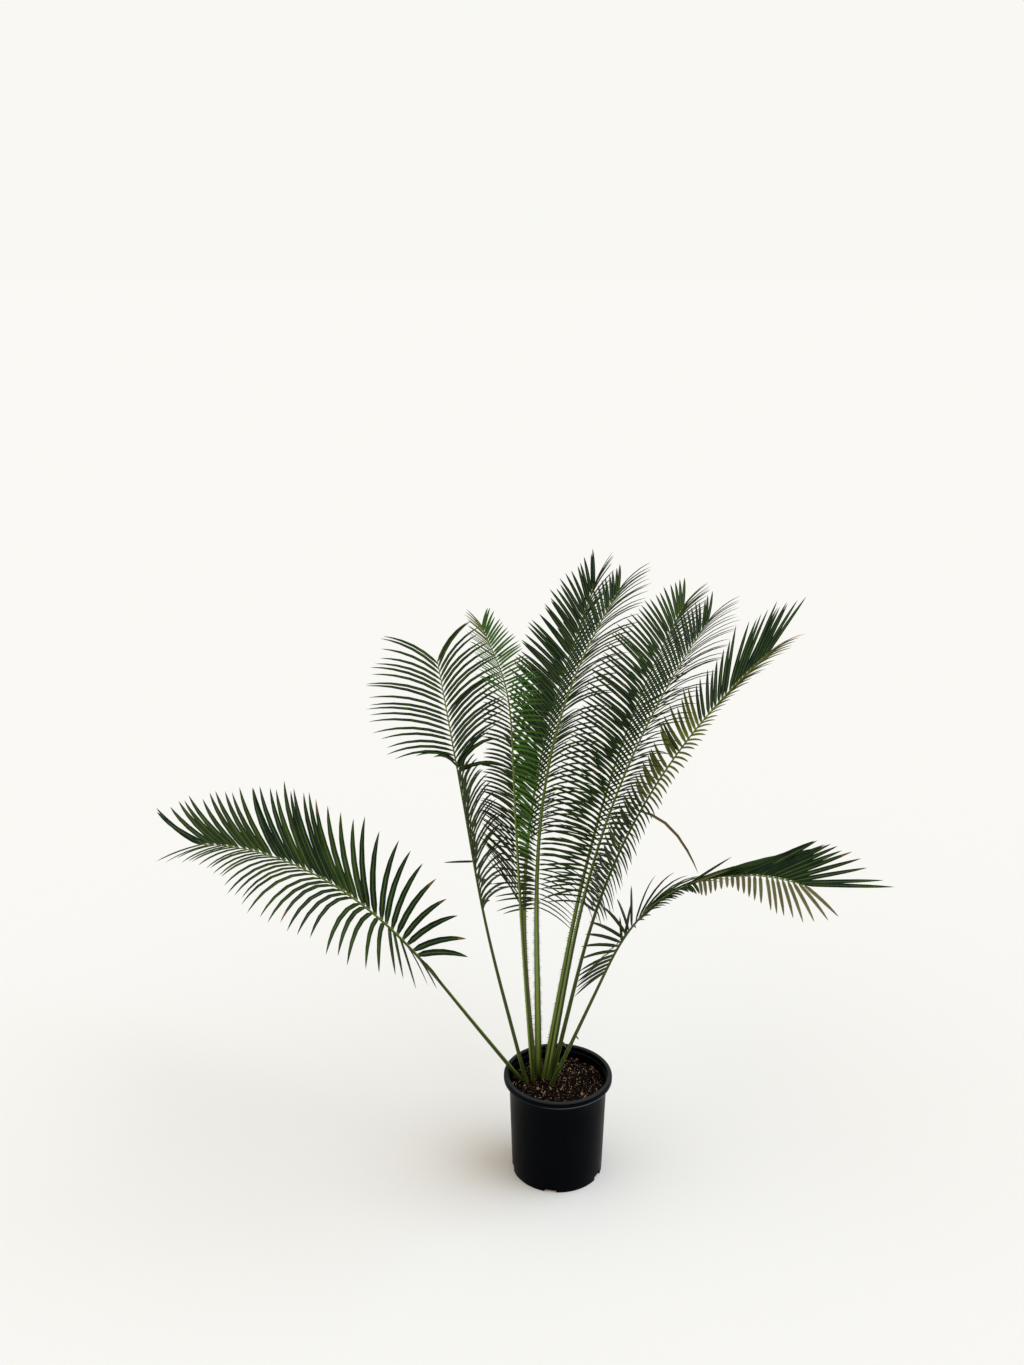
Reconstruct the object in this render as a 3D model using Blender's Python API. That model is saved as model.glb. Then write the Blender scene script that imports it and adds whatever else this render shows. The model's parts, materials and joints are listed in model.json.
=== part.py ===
"""Potted cycad: nine feathery fronds that rise from bark compost in a black nursery pot.

Metres, +Z up. The origin is the middle of the pot's flat underside, on the ground.
+X is the plant's right and -Y its front. Angles are in degrees: an azimuth turns
from +X towards +Y, and a lean is measured from the vertical.
"""

import math

import bmesh
import bpy
from mathutils import Vector
from mathutils.bvhtree import BVHTree

CLEARANCE = 0.0003  # between touching sub-parts

# Pot
POT_HEIGHT = 0.250
POT_BASE_RADIUS = 0.105
POT_NECK_RADIUS = 0.1125  # outside of the wall, just under the rolled rim
POT_WALL = 0.0022
POT_FLOOR = 0.0030
RIM_RADIUS = 0.125
RIM_MOUTH_RADIUS = 0.1135
RIM_DEPTH = 0.014
RIM_ROUND = 0.0035
POT_SEGMENTS = 48

# Drainage notches round the pot's bottom edge
NOTCH_COUNT = 5
NOTCH_FIRST = 260.0
NOTCH_WIDTH = 0.028
NOTCH_HEIGHT = 0.013
NOTCH_DEPTH = 0.012
NOTCH_ROUND = 0.004

# Compost
SOIL_LEVEL = 0.228
SOIL_MOUND = 0.004  # how much higher it lies round the plant's foot
SOIL_RINGS = 4

# Ribs and leaflets
FOOT_DEPTH = 0.012  # how far a rib goes on below the compost
RIB_STEPS = 240
STALK_RINGS = 8
STALK_TAPER = 0.72  # width at the first leaflets, as a share of the width at the foot
RIB_TIP_WIDTH = 0.0022
RIB_HEIGHT = 0.9  # as a share of its width
LEAF_PITCH = 0.032
LEAF_ROOT = 0.36  # share of the pitch that a leaflet's root takes up
LEAF_WIDTH = 0.010
LEAF_CROWDING = 0.55  # widest leaflet, as a share of the gap to the next one
LEAF_SLIMNESS = 100.0  # length over thickness
LEAF_JOINTS = (0.34, 0.70, 1.0)
LEAF_WIDTHS = (1.0, 0.8)
LEAF_REACHES = (1.0, 0.72, 0.48)  # tried in turn where something is in the way
LEAF_GAP = 0.0012  # by which a leaflet is enlarged to find it room
LEAF_ANGLES = (14.0, 150.0)  # least and greatest to the rib, so that none lies against it
TREE_STEPS = 40  # of the tubes that stand for the ribs when leaflets are fitted in

# One entry a frond. foot is where it leaves the compost, and stalk its width there.
# azimuth and lean of the rib go from the foot to the tip, and the lean changes between
# the shares of the rib in bend. Below the share blade_from the rib bears no leaflets,
# and split is the share at which the frond is in two pieces.
# roll turns the blade about the rib. It is a profile: values at even steps from the
# blade's base to its tip. The pairs below hold one entry for the left row of leaflets
# and one for the right, as seen with the blade's upper face in front and its tip up.
# reach = length as a share of leaf, rise = how far the row stands up from flat, angle =
# leaflet to rib, and droop = how much its own weight bends it: profiles, one a row.
# curl = how much a leaflet turns outwards, one number a row.
FRONDS = {
    "frond_far_left": dict(
        foot=(-0.0905, 0.014), stalk=0.0085, length=0.985,
        azimuth=(180, 160), lean=(36, 111), bend=(0.24, 1.26),
        blade_from=0.378, leaf=0.235, curl=(20, 24), split=0.66,
        roll=(0, -10, -20, -20, -20, -20, -20, -20, -20),
        reach=(
            (0.4, 0.62, 0.72, 0.8, 0.8, 0.68, 0.5, 0.42, 0.5),
            (0.56, 0.7, 0.84, 0.94, 0.94, 0.88, 0.8, 0.8, 0.82),
        ),
        rise=((35, 33, 32, 31, 30, 29, 28, 26, 25), (35, 33, 32, 31, 30, 29, 28, 26, 25)),
        angle=((120, 100, 70, 50, 44, 42, 44, 46, 44), (130, 72, 38, 28, 31, 32, 30, 25, 18)),
        droop=((0.6, 0.9, 1.1, 1.2, 1.1, 0.9, 0.6, 0.35, 0.2), (0.15, 0.15)),
    ),
    "frond_left": dict(
        foot=(-0.0738, 0.0032), stalk=0.0088, length=1.014,
        azimuth=(150, 165), lean=(16.3, 9.6), bend=(0.15, 0.59),
        blade_from=0.42, leaf=0.215, curl=(26, 30), split=None,
        roll=(35, 35, 35, 35, 35, 35, 35, -60, -60, -60, -60, -60),
        reach=(
            (0.5, 0.6, 0.65, 0.65, 0.65, 0.6, 0.5, 0.7, 0.85, 0.88, 0.75, 0.6),
            (0.5, 0.6, 0.7, 0.7, 0.65, 0.55, 0.5, 0.72, 0.78, 0.75, 0.65, 0.55),
        ),
        rise=(
            (10, 8, 5, 5, 5, 5, 5, 10, 9, 7, 3, 0),
            (45, 45, 45, 45, 45, 42, 40, 12, 9, 7, 3, 0),
        ),
        angle=(
            (45, 35, 26, 22, 22, 24, 30, 56, 52, 48, 42, 30),
            (72, 60, 50, 45, 45, 45, 45, 38, 40, 42, 36, 26),
        ),
        droop=(
            (0.1, 0.1, 0.1, 0.1, 0.1, 0.1, 0.2, 0.35, 0.15, 0.15, 0.2, 0.2),
            (0.35, 0.35, 0.35, 0.35, 0.35, 0.35, 0.35, 0.25, 0.25, 0.25, 0.25, 0.25),
        ),
    ),
    "frond_centre_front": dict(
        foot=(-0.0573, 0.0064), stalk=0.0085, length=1.225,
        azimuth=(216, 254), lean=(4.9, 45), bend=(0.68, 0.91),
        blade_from=0.37, leaf=0.155, curl=(5, 5), split=None,
        roll=(0, 0),
        reach=(
            (0.35, 0.42, 0.5, 0.55, 0.6, 0.65, 0.65, 0.55, 0.5),
            (0.85, 0.88, 0.8, 0.68, 0.58, 0.5, 0.42, 0.4, 0.4),
        ),
        rise=((-10, -18, -25, -25, -20, -12, 0, 10, 15), (10, 12, 18, 20, 22, 22, 20, 15, 10)),
        angle=((52, 62, 78, 80, 70, 58, 46, 34, 14), (55, 60, 70, 78, 80, 72, 55, 36, 12)),
        droop=(
            (0.2, 0.3, 0.4, 0.4, 0.4, 0.3, 0.1, 0, 0),
            (0.1, 0.2, 0.4, 0.45, 0.4, 0.3, 0.2, 0.15, 0.1),
        ),
    ),
    "frond_centre_back": dict(
        foot=(-0.0525, 0.0475), stalk=0.0085, length=1.18,
        azimuth=(104, 40), lean=(25, 26), bend=(-0.5, 0.5),
        blade_from=0.45, leaf=0.185, curl=(4, 14), split=None,
        roll=(0, 0),
        reach=(
            (0.3, 0.45, 0.6, 0.7, 0.8, 0.82, 0.75, 0.6, 0.48),
            (0.3, 0.4, 0.5, 0.6, 0.7, 0.75, 0.75, 0.65, 0.5),
        ),
        rise=((15, 15), (20, 20)),
        angle=((50, 52, 55, 58, 60, 60, 55, 48, 18), (50, 46, 42, 38, 36, 34, 30, 24, 10)),
        droop=((0.1, 0.1), (0.2, 0.2)),
    ),
    "frond_centre": dict(
        foot=(-0.0445, 0.0325), stalk=0.012, length=1.214,
        azimuth=(84.5, 48.7), lean=(-8, 50), bend=(0.16, 1.09),
        blade_from=0.37, leaf=0.185, curl=(8, 22), split=None,
        roll=(0, 0),
        reach=(
            (0.55, 0.7, 0.75, 0.7, 0.65, 0.62, 0.6, 0.5, 0.4),
            (0.5, 0.7, 0.8, 0.8, 0.8, 0.8, 0.75, 0.7, 0.5),
        ),
        rise=((-15, -15, -10, 0, 10, 15, 15), (20, 20)),
        angle=((105, 80, 66, 60, 55, 52, 48, 38, 16), (92, 76, 62, 56, 50, 46, 40, 30, 10)),
        droop=((0.25, 0.1), (0.35, 0.35)),
    ),
    "frond_right_back": dict(
        foot=(-0.031, 0.0185), stalk=0.0098, length=1.193,
        azimuth=(55, 55), lean=(18, 62.5), bend=(0.11, 1.35),
        blade_from=0.37, leaf=0.185, curl=(4, 16), split=None,
        roll=(0, 0),
        reach=(
            (0.55, 0.7, 0.75, 0.75, 0.78, 0.8, 0.78, 0.66, 0.5),
            (0.4, 0.55, 0.6, 0.65, 0.7, 0.75, 0.75, 0.65, 0.5),
        ),
        rise=((15, 15), (20, 20)),
        angle=((108, 86, 74, 68, 64, 62, 58, 48, 16), (92, 75, 60, 52, 46, 42, 36, 26, 10)),
        droop=((0.3, 0.1), (0.25, 0.25)),
    ),
    "frond_right_middle": dict(
        foot=(-0.0215, 0.012), stalk=0.0096, length=1.161,
        azimuth=(35, 45), lean=(11.4, 56.2), bend=(0.14, 1.2),
        blade_from=0.37, leaf=0.185, curl=(8, 24), split=None,
        roll=(0, 0),
        reach=(
            (0.5, 0.55, 0.6, 0.6, 0.62, 0.66, 0.66, 0.58, 0.45),
            (0.45, 0.6, 0.68, 0.7, 0.74, 0.8, 0.8, 0.72, 0.5),
        ),
        rise=((20, 20), (20, 20)),
        angle=((100, 80, 66, 60, 56, 52, 46, 36, 16), (95, 76, 62, 56, 50, 44, 36, 26, 10)),
        droop=((0.25, 0.1), (0.35, 0.35)),
    ),
    "frond_right": dict(
        foot=(-0.012, 0.0215), stalk=0.0098, length=1.14,
        azimuth=(0, 25), lean=(11.7, 63), bend=(0.17, 1.26),
        blade_from=0.375, leaf=0.185, curl=(-5, 12), split=None,
        roll=(0, 0),
        reach=(
            (0.5, 0.55, 0.6, 0.62, 0.62, 0.62, 0.65, 0.68, 0.7, 0.6, 0.95, 0.95, 0.85),
            (0.4, 0.5, 0.5, 0.42, 0.36, 0.32, 0.28, 0.24, 0.2, 0.2, 0.4, 0.5, 0.5),
        ),
        rise=(
            (5, 2, 0, -2, -4, -5, -6, 0, 5, 8, 36, 38, 36),
            (5, 5, 5, 5, 5, 5, 5, 0, 0, 0, 0, 0, 0),
        ),
        angle=(
            (105, 98, 95, 90, 88, 86, 84, 78, 68, 48, 27, 23, 15),
            (78, 82, 84, 86, 86, 85, 80, 60, 40, 14, 6, 4, 2),
        ),
        droop=((-0.1, -0.1), (0.3, 0.4)),
    ),
    "frond_far_right": dict(
        foot=(-0.0137, -0.0104), stalk=0.009, length=0.872,
        azimuth=(-12, -5), lean=(21.3, 110.5), bend=(0.35, 1.09),
        blade_from=0.365, leaf=0.205, curl=(0, 5), split=0.62,
        roll=(0, 0, 0, 0, 0, 0, 20, 35, 50, 60, 60),
        reach=(
            (0.6, 0.7, 0.75, 0.75, 0.8, 0.8, 0.78, 0.78, 0.78, 0.8, 0.95),
            (0.4, 0.5, 0.4, 0.3, 0.2, 0.15, 0.2, 0.12, 0.26, 0.42, 0.5),
        ),
        rise=((45, 40, 25, 8, 5, 5, 5, 5, 5, 5, 5), (45, 35, 20, 10, 0, 0, 0, 0, 0, 0, 0)),
        angle=(
            (150, 136, 100, 30, 4, 2, 10, 18, 30, 32, 12),
            (120, 100, 60, 20, 10, 40, 90, 90, 85, 65, 20),
        ),
        droop=(
            (0.3, 0.3, 0.3, 0.8, 0.9, 0.6, 0.3, 0.1, 0, 0, 0),
            (0.3, 0.3, 0.5, 0.5, 0.8, 0.5, 0.5, 0.5, 0.4, 0.2, 0.1),
        ),
    ),
}

LEAF_GREEN = (0.030, 0.085, 0.025, 1.0)
POT_BLACK = (0.012, 0.012, 0.013, 1.0)
SOIL_BROWN = (0.065, 0.038, 0.022, 1.0)


def material(name, colour, roughness):
    """A Principled BSDF of one plain colour."""
    made = bpy.data.materials.new(name)
    made.use_nodes = True
    shader = made.node_tree.nodes["Principled BSDF"]
    shader.inputs["Base Color"].default_value = colour
    shader.inputs["Roughness"].default_value = roughness
    shader.inputs["Metallic"].default_value = 0.0
    return made


def place(name, mesh, look=None):
    """Link a mesh as the object called name."""
    made = bpy.data.objects.new(name, mesh)
    bpy.context.scene.collection.objects.link(made)
    if look:
        mesh.materials.append(look)
    return made


def mesh_of(name, points, faces):
    """A mesh of these points and faces, with its faces turned outwards."""
    made = bpy.data.meshes.new(name)
    made.from_pydata([tuple(point) for point in points], [], faces)
    shape = bmesh.new()
    shape.from_mesh(made)
    bmesh.ops.recalc_face_normals(shape, faces=shape.faces)
    if shape.calc_volume(signed=True) < 0:
        bmesh.ops.reverse_faces(shape, faces=shape.faces)
    shape.to_mesh(made)
    shape.free()
    return made


def turned(name, profile):
    """Spin a profile of (radius, height) points, both ends on the axis, into a closed mesh."""
    made = bpy.data.meshes.new(name)
    shape = bmesh.new()
    points = [shape.verts.new((radius, 0, height)) for radius, height in profile]
    edges = [shape.edges.new(pair) for pair in zip(points, points[1:])]
    bmesh.ops.spin(
        shape, geom=points + edges, cent=(0, 0, 0), axis=(0, 0, 1),
        angle=math.tau, steps=POT_SEGMENTS, use_merge=True,
    )
    bmesh.ops.remove_doubles(shape, verts=shape.verts, dist=0.00001)
    bmesh.ops.recalc_face_normals(shape, faces=shape.faces)
    shape.to_mesh(made)
    shape.free()
    return made


def cut(target, cutters):
    """Take the cutters out of the target; they stay as hidden wire guides."""
    kept = bpy.data.collections.new(target.name + "_cutters")
    bpy.context.scene.collection.children.link(kept)
    for cutter in cutters:
        bpy.context.scene.collection.objects.unlink(cutter)
        kept.objects.link(cutter)
        cutter.hide_render = True
        cutter.display_type = "WIRE"
    difference = target.modifiers.new("cut", "BOOLEAN")
    difference.operation = "DIFFERENCE"
    difference.operand_type = "COLLECTION"
    difference.collection = kept
    difference.solver = "EXACT"


def wall_radius(height):
    """Outer radius of the pot's tapering wall at a height."""
    share = height / (POT_HEIGHT - RIM_DEPTH)
    return POT_BASE_RADIUS + (POT_NECK_RADIUS - POT_BASE_RADIUS) * share


def rim_profile():
    """The rolled rim, from its inner edge over the top and down the outside."""
    top = POT_HEIGHT
    under = POT_HEIGHT - RIM_DEPTH
    return [
        (RIM_MOUTH_RADIUS, top - RIM_ROUND),
        (RIM_MOUTH_RADIUS + RIM_ROUND * 0.3, top - RIM_ROUND * 0.3),
        (RIM_MOUTH_RADIUS + RIM_ROUND, top),
        (RIM_RADIUS - RIM_ROUND * 1.5, top),
        (RIM_RADIUS - RIM_ROUND * 0.5, top - RIM_ROUND * 0.6),
        (RIM_RADIUS, top - RIM_ROUND * 2.0),
        (RIM_RADIUS - RIM_ROUND * 0.3, under + RIM_ROUND * 0.3),
        (RIM_RADIUS - RIM_ROUND, under),
        (POT_NECK_RADIUS, under),
    ]


def notch_cutter(number):
    """A round-cornered block that cuts one drainage notch through wall and floor edge."""
    half = NOTCH_WIDTH / 2
    corner = NOTCH_ROUND * (1 - math.sqrt(0.5))
    outline = [
        (-half, -NOTCH_HEIGHT),
        (half, -NOTCH_HEIGHT),
        (half, NOTCH_HEIGHT - NOTCH_ROUND),
        (half - corner, NOTCH_HEIGHT - corner),
        (half - NOTCH_ROUND, NOTCH_HEIGHT),
        (-half + NOTCH_ROUND, NOTCH_HEIGHT),
        (-half + corner, NOTCH_HEIGHT - corner),
        (-half, NOTCH_HEIGHT - NOTCH_ROUND),
    ]
    inner = POT_BASE_RADIUS - NOTCH_DEPTH
    outer = POT_BASE_RADIUS + NOTCH_DEPTH
    points = [(depth, across, up) for depth in (inner, outer) for across, up in outline]
    count = len(outline)
    faces = [tuple(range(count)), tuple(range(count, 2 * count))]
    for here in range(count):
        after = (here + 1) % count
        faces.append((here, after, after + count, here + count))
    made = place(f"notch_cutter_{number + 1}", mesh_of("notch_cutter", points, faces))
    made.rotation_euler.z = math.radians(NOTCH_FIRST + number * 360 / NOTCH_COUNT)
    return made


def make_pot():
    """Thin tapered pot with a rolled rim and notches round its bottom edge."""
    inside = POT_NECK_RADIUS - POT_WALL
    profile = [(0, POT_FLOOR), (wall_radius(POT_FLOOR) - POT_WALL, POT_FLOOR)]
    profile.append((inside, POT_HEIGHT - RIM_DEPTH))
    profile += rim_profile()
    profile += [(POT_BASE_RADIUS, 0), (0, 0)]
    pot = place("pot", turned("pot", profile), material("pot_plastic", POT_BLACK, 0.35))
    cut(pot, [notch_cutter(number) for number in range(NOTCH_COUNT)])
    pot.data.shade_smooth()
    pot.data.set_sharp_from_angle(angle=math.radians(30))


def smooth(value):
    """Ease from 0 to 1 as value does, and stay there."""
    value = min(max(value, 0.0), 1.0)
    return value * value * (3 - 2 * value)


def between(pair, share):
    """The value that lies this share of the way between two."""
    return pair[0] + (pair[1] - pair[0]) * share


def along_blade(profile, along):
    """The value of a profile at this share of the blade."""
    steps = len(profile) - 1
    passed = min(max(along, 0.0), 1.0) * steps
    number = min(int(passed), steps - 1)
    return between((profile[number], profile[number + 1]), passed - number)


class Rib:
    """Centre line of a frond, by the share of its length that has been passed."""

    def __init__(self, frond):
        self.frond = frond
        self.points = [Vector((*frond["foot"], SOIL_LEVEL))]
        step = frond["length"] / RIB_STEPS
        for number in range(RIB_STEPS):
            tangent = self.frame((number + 0.5) / RIB_STEPS)[0]
            self.points.append(self.points[-1] + tangent * step)

    def along(self, share):
        """The share of the blade that a share of the rib stands for; below 0 on the stalk."""
        return (share - self.frond["blade_from"]) / (1 - self.frond["blade_from"])

    def frame(self, share):
        """Directions along the rib, out of the blade's upper face and to its side."""
        frond = self.frond
        start, end = frond["bend"]
        lean = math.radians(between(frond["lean"], smooth((share - start) / (end - start))))
        azimuth = math.radians(between(frond["azimuth"], smooth(share)))
        outward = Vector((math.cos(azimuth), math.sin(azimuth), 0))
        tangent = outward * math.sin(lean) + Vector((0, 0, math.cos(lean)))
        upper = Vector((0, 0, math.sin(lean))) - outward * math.cos(lean)
        side = tangent.cross(upper)
        roll = math.radians(along_blade(frond["roll"], self.along(share)))
        rolled = upper * math.cos(roll) + side * math.sin(roll)
        return tangent, rolled, side * math.cos(roll) - upper * math.sin(roll)

    def place(self, share):
        """Point on the centre line; a share below 0 carries on straight into the compost."""
        if share <= 0:
            return self.points[0] + self.frame(0)[0] * (share * self.frond["length"])
        number = min(int(share * RIB_STEPS), RIB_STEPS - 1)
        return self.points[number].lerp(self.points[number + 1], share * RIB_STEPS - number)

    def width(self, share):
        """Width of the rib: an even stalk taper, then a finer one along the blade."""
        stalk = self.frond["stalk"]
        blade_from = self.frond["blade_from"]
        if share < blade_from:
            return stalk * between((1, STALK_TAPER), max(share, 0) / blade_from)
        return between((stalk * STALK_TAPER, RIB_TIP_WIDTH), self.along(share))

    def ring(self, share, extra=0.0):
        """Six points round the rib; points 5 and 0 bound one side face, 2 and 3 the other."""
        middle = self.place(share)
        _, upper, side = self.frame(share)
        half = self.width(share) / 2
        across = side * (half + extra)
        up = upper * (half * RIB_HEIGHT + extra)
        offsets = (across + up / 2, up, up / 2 - across, -across - up / 2, -up, across - up / 2)
        return [middle + offset for offset in offsets]


def leaf_shares(frond):
    """Shares of the rib at which pairs of leaflets stand."""
    blade = 1 - frond["blade_from"]
    count = round(frond["length"] * blade / LEAF_PITCH)
    return [(frond["blade_from"] + blade * (number + 0.5) / count) for number in range(count)]


def root_ends(rib, share):
    """Shares of the rib between which the root of a leaflet lies."""
    half_root = LEAF_PITCH * LEAF_ROOT / 2 / rib.frond["length"]
    return share - half_root, share + half_root


def leaf_rings(rib, share, sign, reach, extra=0.0):
    """Square rings down a leaflet, and its tip; sign picks the row that it stands in."""
    frond = rib.frond
    row_number = 0 if sign < 0 else 1
    along = rib.along(share)
    reach_here, rise, angle, droop = [
        along_blade(frond[key][row_number], along) for key in ("reach", "rise", "angle", "droop")
    ]
    angle = min(max(angle, LEAF_ANGLES[0]), LEAF_ANGLES[1])
    curl = frond["curl"][row_number]
    tangent, upper, side = rib.frame(share)
    row = side * (sign * math.cos(math.radians(rise))) + upper * math.sin(math.radians(rise))
    full_length = frond["leaf"] * reach_here
    length = full_length * reach
    crowded = LEAF_CROWDING * LEAF_PITCH * math.sin(math.radians(angle))
    half_width = min(LEAF_WIDTH, crowded) / 2 + extra
    half_thickness = full_length / LEAF_SLIMNESS / 2 + extra
    point = rib.place(share) + side * (sign * rib.width(share) / 2)
    passed = 0.0
    rings = []
    for joint, breadth in zip(LEAF_JOINTS, (*LEAF_WIDTHS, 0.0)):
        middle = (passed + joint) / 2
        turn = math.radians(angle + curl * middle)
        heading = tangent * math.cos(turn) + row * math.sin(turn)
        heading = (heading - Vector((0, 0, droop * middle))).normalized()
        point = point + heading * (length * (joint - passed))
        passed = joint
        if not breadth:
            break
        forward = tangent * math.sin(turn) - row * math.cos(turn)
        forward = (forward - heading * forward.dot(heading)).normalized()
        up = heading.cross(forward) * sign
        wide = forward * (half_width * breadth)
        thick = up * half_thickness
        corners = (-wide - thick, wide - thick, wide + thick, thick - wide)
        rings.append([point + corner for corner in corners])
    return rings, point


def leaf_faces(root, first, rings):
    """Faces of a leaflet from its four root points through its rings to its tip."""
    faces = []
    ring = root
    for number in range(rings):
        after = [first + 4 * number + corner for corner in range(4)]
        for corner in range(4):
            beside = (corner + 1) % 4
            faces.append((ring[corner], ring[beside], after[beside], after[corner]))
        ring = after
    tip = first + 4 * rings
    return faces + [(ring[corner], ring[(corner + 1) % 4], tip) for corner in range(4)]


def tube(rings):
    """Faces of a closed tube of six-point rings."""
    faces = [tuple(range(6))]
    for number in range(len(rings) - 1):
        first = 6 * number
        for corner in range(6):
            beside = (corner + 1) % 6
            faces.append((first + corner, first + beside, first + 6 + beside, first + 6 + corner))
    last = 6 * (len(rings) - 1)
    faces.append(tuple(range(last, last + 6)))
    return faces


def tube_tree(rib):
    """Search tree of a rib's own tube."""
    rings = [rib.ring(step / TREE_STEPS) for step in range(TREE_STEPS + 1)]
    points = [point for ring in rings for point in ring]
    return BVHTree.FromPolygons(points, tube(rings))


def leaf_tree(rib, share, sign, reach):
    """Search tree of one leaflet, made a little larger."""
    before, after = [rib.ring(end, LEAF_GAP) for end in root_ends(rib, share)]
    root = [before[5], after[5], after[0], before[0]]
    if sign < 0:
        root = [before[3], after[3], after[2], before[2]]
    rings, tip = leaf_rings(rib, share, sign, reach, LEAF_GAP)
    points = root + [point for ring in rings for point in ring] + [tip]
    return BVHTree.FromPolygons(points, leaf_faces(range(4), 4, len(rings)))


def choose_leaves(ribs):
    """For each frond the reach of every leaflet that has room among those placed before it."""
    stalks = {name: tube_tree(rib) for name, rib in ribs.items()}
    grown = {name: [] for name in ribs}
    chosen = {name: {} for name in ribs}
    for name, rib in ribs.items():
        for share in leaf_shares(rib.frond):
            for sign in (-1, 1):
                others = [stalks[other] for other in ribs if other != name]
                others += [tree for trees in grown.values() for tree in trees]
                for reach in LEAF_REACHES:
                    tree = leaf_tree(rib, share, sign, reach)
                    if not any(tree.overlap(other) for other in others):
                        grown[name].append(tree)
                        chosen[name][share, sign] = reach
                        break
    return chosen


def blade_stations(rib, start, end):
    """Ring shares from start to end; a leaflet's root lies between each marked pair."""
    frond = rib.frond
    stations = [(start, None)]
    if start < frond["blade_from"]:
        foot = max(start, 0)
        for number in range(STALK_RINGS):
            stations.append((between((foot, frond["blade_from"]), number / STALK_RINGS), None))
    for share in leaf_shares(frond):
        if start < share < end:
            before, after = root_ends(rib, share)
            stations += [(before, share), (after, None)]
    stations.append((end, None))
    return stations


def frond_mesh(name, rib, leaves, start, end):
    """The stretch of a frond from start to end as one closed blade, its leaflets drawn out of the rib."""
    stations = blade_stations(rib, start, end)
    rings = [rib.ring(share) for share, _ in stations]
    points = [point for ring in rings for point in ring]
    faces = tube(rings)
    for number, (_, leaf_share) in enumerate(stations):
        here = 6 * number
        after = here + 6
        roots = {
            1: (here + 5, after + 5, after, here),
            -1: (here + 3, after + 3, after + 2, here + 2),
        }
        for sign, root in roots.items():
            if (leaf_share, sign) not in leaves:
                continue
            leaf, tip = leaf_rings(rib, leaf_share, sign, leaves[leaf_share, sign])
            faces = [face for face in faces if set(face) != set(root)]
            faces += leaf_faces(root, len(points), len(leaf))
            points += [point for ring in leaf for point in ring] + [tip]
    return mesh_of(name, points, faces)


def make_fronds(ribs):
    """Every frond, in two pieces at its bend where it arches round a wide gap."""
    leaves = choose_leaves(ribs)
    for name, rib in ribs.items():
        frond = rib.frond
        look = material(name, LEAF_GREEN, 0.5)
        foot = -FOOT_DEPTH / frond["length"]
        if not frond["split"]:
            place(name, frond_mesh(name, rib, leaves[name], foot, 1.0), look)
            continue
        gap = CLEARANCE / frond["length"]
        shares = leaf_shares(frond)
        nearest = min(range(len(shares)), key=lambda number: abs(shares[number] - frond["split"]))
        split = (shares[nearest] + shares[nearest + 1]) / 2
        lower = frond_mesh(name, rib, leaves[name], foot, split - gap / 2)
        upper = frond_mesh(name, rib, leaves[name], split + gap / 2, 1.0)
        place(name + "_lower", lower, look)
        place(name + "_upper", upper, look)


def socket_cutter(name, rib):
    """The foot of a rib, larger by the clearance, that cuts its socket in the compost."""
    length = rib.frond["length"]
    bottom = -(FOOT_DEPTH + CLEARANCE) / length
    rings = [rib.ring(share, CLEARANCE) for share in (bottom, FOOT_DEPTH / length)]
    points = [point for ring in rings for point in ring]
    return place(name + "_socket", mesh_of("socket", points, tube(rings)))


def make_soil(ribs):
    """Compost that fills the pot, a little higher in the middle, with a socket for each rib."""
    bottom = POT_FLOOR + CLEARANCE
    top_radius = wall_radius(SOIL_LEVEL - SOIL_MOUND) - POT_WALL - CLEARANCE
    base_radius = wall_radius(bottom) - POT_WALL - CLEARANCE
    profile = [(0, bottom), (base_radius, bottom)]
    for ring in range(SOIL_RINGS, -1, -1):
        share = ring / SOIL_RINGS
        profile.append((top_radius * share, SOIL_LEVEL - SOIL_MOUND * smooth(share)))
    soil = place("soil", turned("soil", profile), material("compost", SOIL_BROWN, 0.95))
    cut(soil, [socket_cutter(name, rib) for name, rib in ribs.items()])


def main():
    for old in list(bpy.data.objects):
        bpy.data.objects.remove(old, do_unlink=True)
    ribs = {name: Rib(frond) for name, frond in FRONDS.items()}
    make_pot()
    make_soil(ribs)
    make_fronds(ribs)


main()
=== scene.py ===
import json
import math
import random

import bmesh
import bpy
from mathutils import Matrix, Vector, noise

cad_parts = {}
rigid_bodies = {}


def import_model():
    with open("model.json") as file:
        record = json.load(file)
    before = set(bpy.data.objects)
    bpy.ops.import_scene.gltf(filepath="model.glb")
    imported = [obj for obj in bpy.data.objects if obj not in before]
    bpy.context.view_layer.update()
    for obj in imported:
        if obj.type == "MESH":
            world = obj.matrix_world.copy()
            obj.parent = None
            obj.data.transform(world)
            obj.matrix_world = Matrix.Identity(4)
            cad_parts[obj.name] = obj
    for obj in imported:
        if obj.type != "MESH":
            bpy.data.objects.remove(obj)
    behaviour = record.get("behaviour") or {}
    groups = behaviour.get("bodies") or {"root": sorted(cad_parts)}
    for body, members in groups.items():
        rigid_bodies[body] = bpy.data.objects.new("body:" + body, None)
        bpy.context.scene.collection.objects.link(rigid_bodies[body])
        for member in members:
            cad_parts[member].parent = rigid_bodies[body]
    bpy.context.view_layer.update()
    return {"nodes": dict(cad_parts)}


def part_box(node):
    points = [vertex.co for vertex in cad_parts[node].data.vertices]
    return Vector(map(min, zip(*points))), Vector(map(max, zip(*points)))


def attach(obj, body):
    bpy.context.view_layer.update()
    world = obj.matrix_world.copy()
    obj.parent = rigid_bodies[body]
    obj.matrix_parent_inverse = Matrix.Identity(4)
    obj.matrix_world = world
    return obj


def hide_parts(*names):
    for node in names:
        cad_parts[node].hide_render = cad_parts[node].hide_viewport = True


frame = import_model()
bpy.context.scene.view_settings.view_transform = "Standard"
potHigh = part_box("pot")[1]
soilLow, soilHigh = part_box("soil")
print("frame loaded,", len(frame["nodes"]), "nodes")


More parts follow.
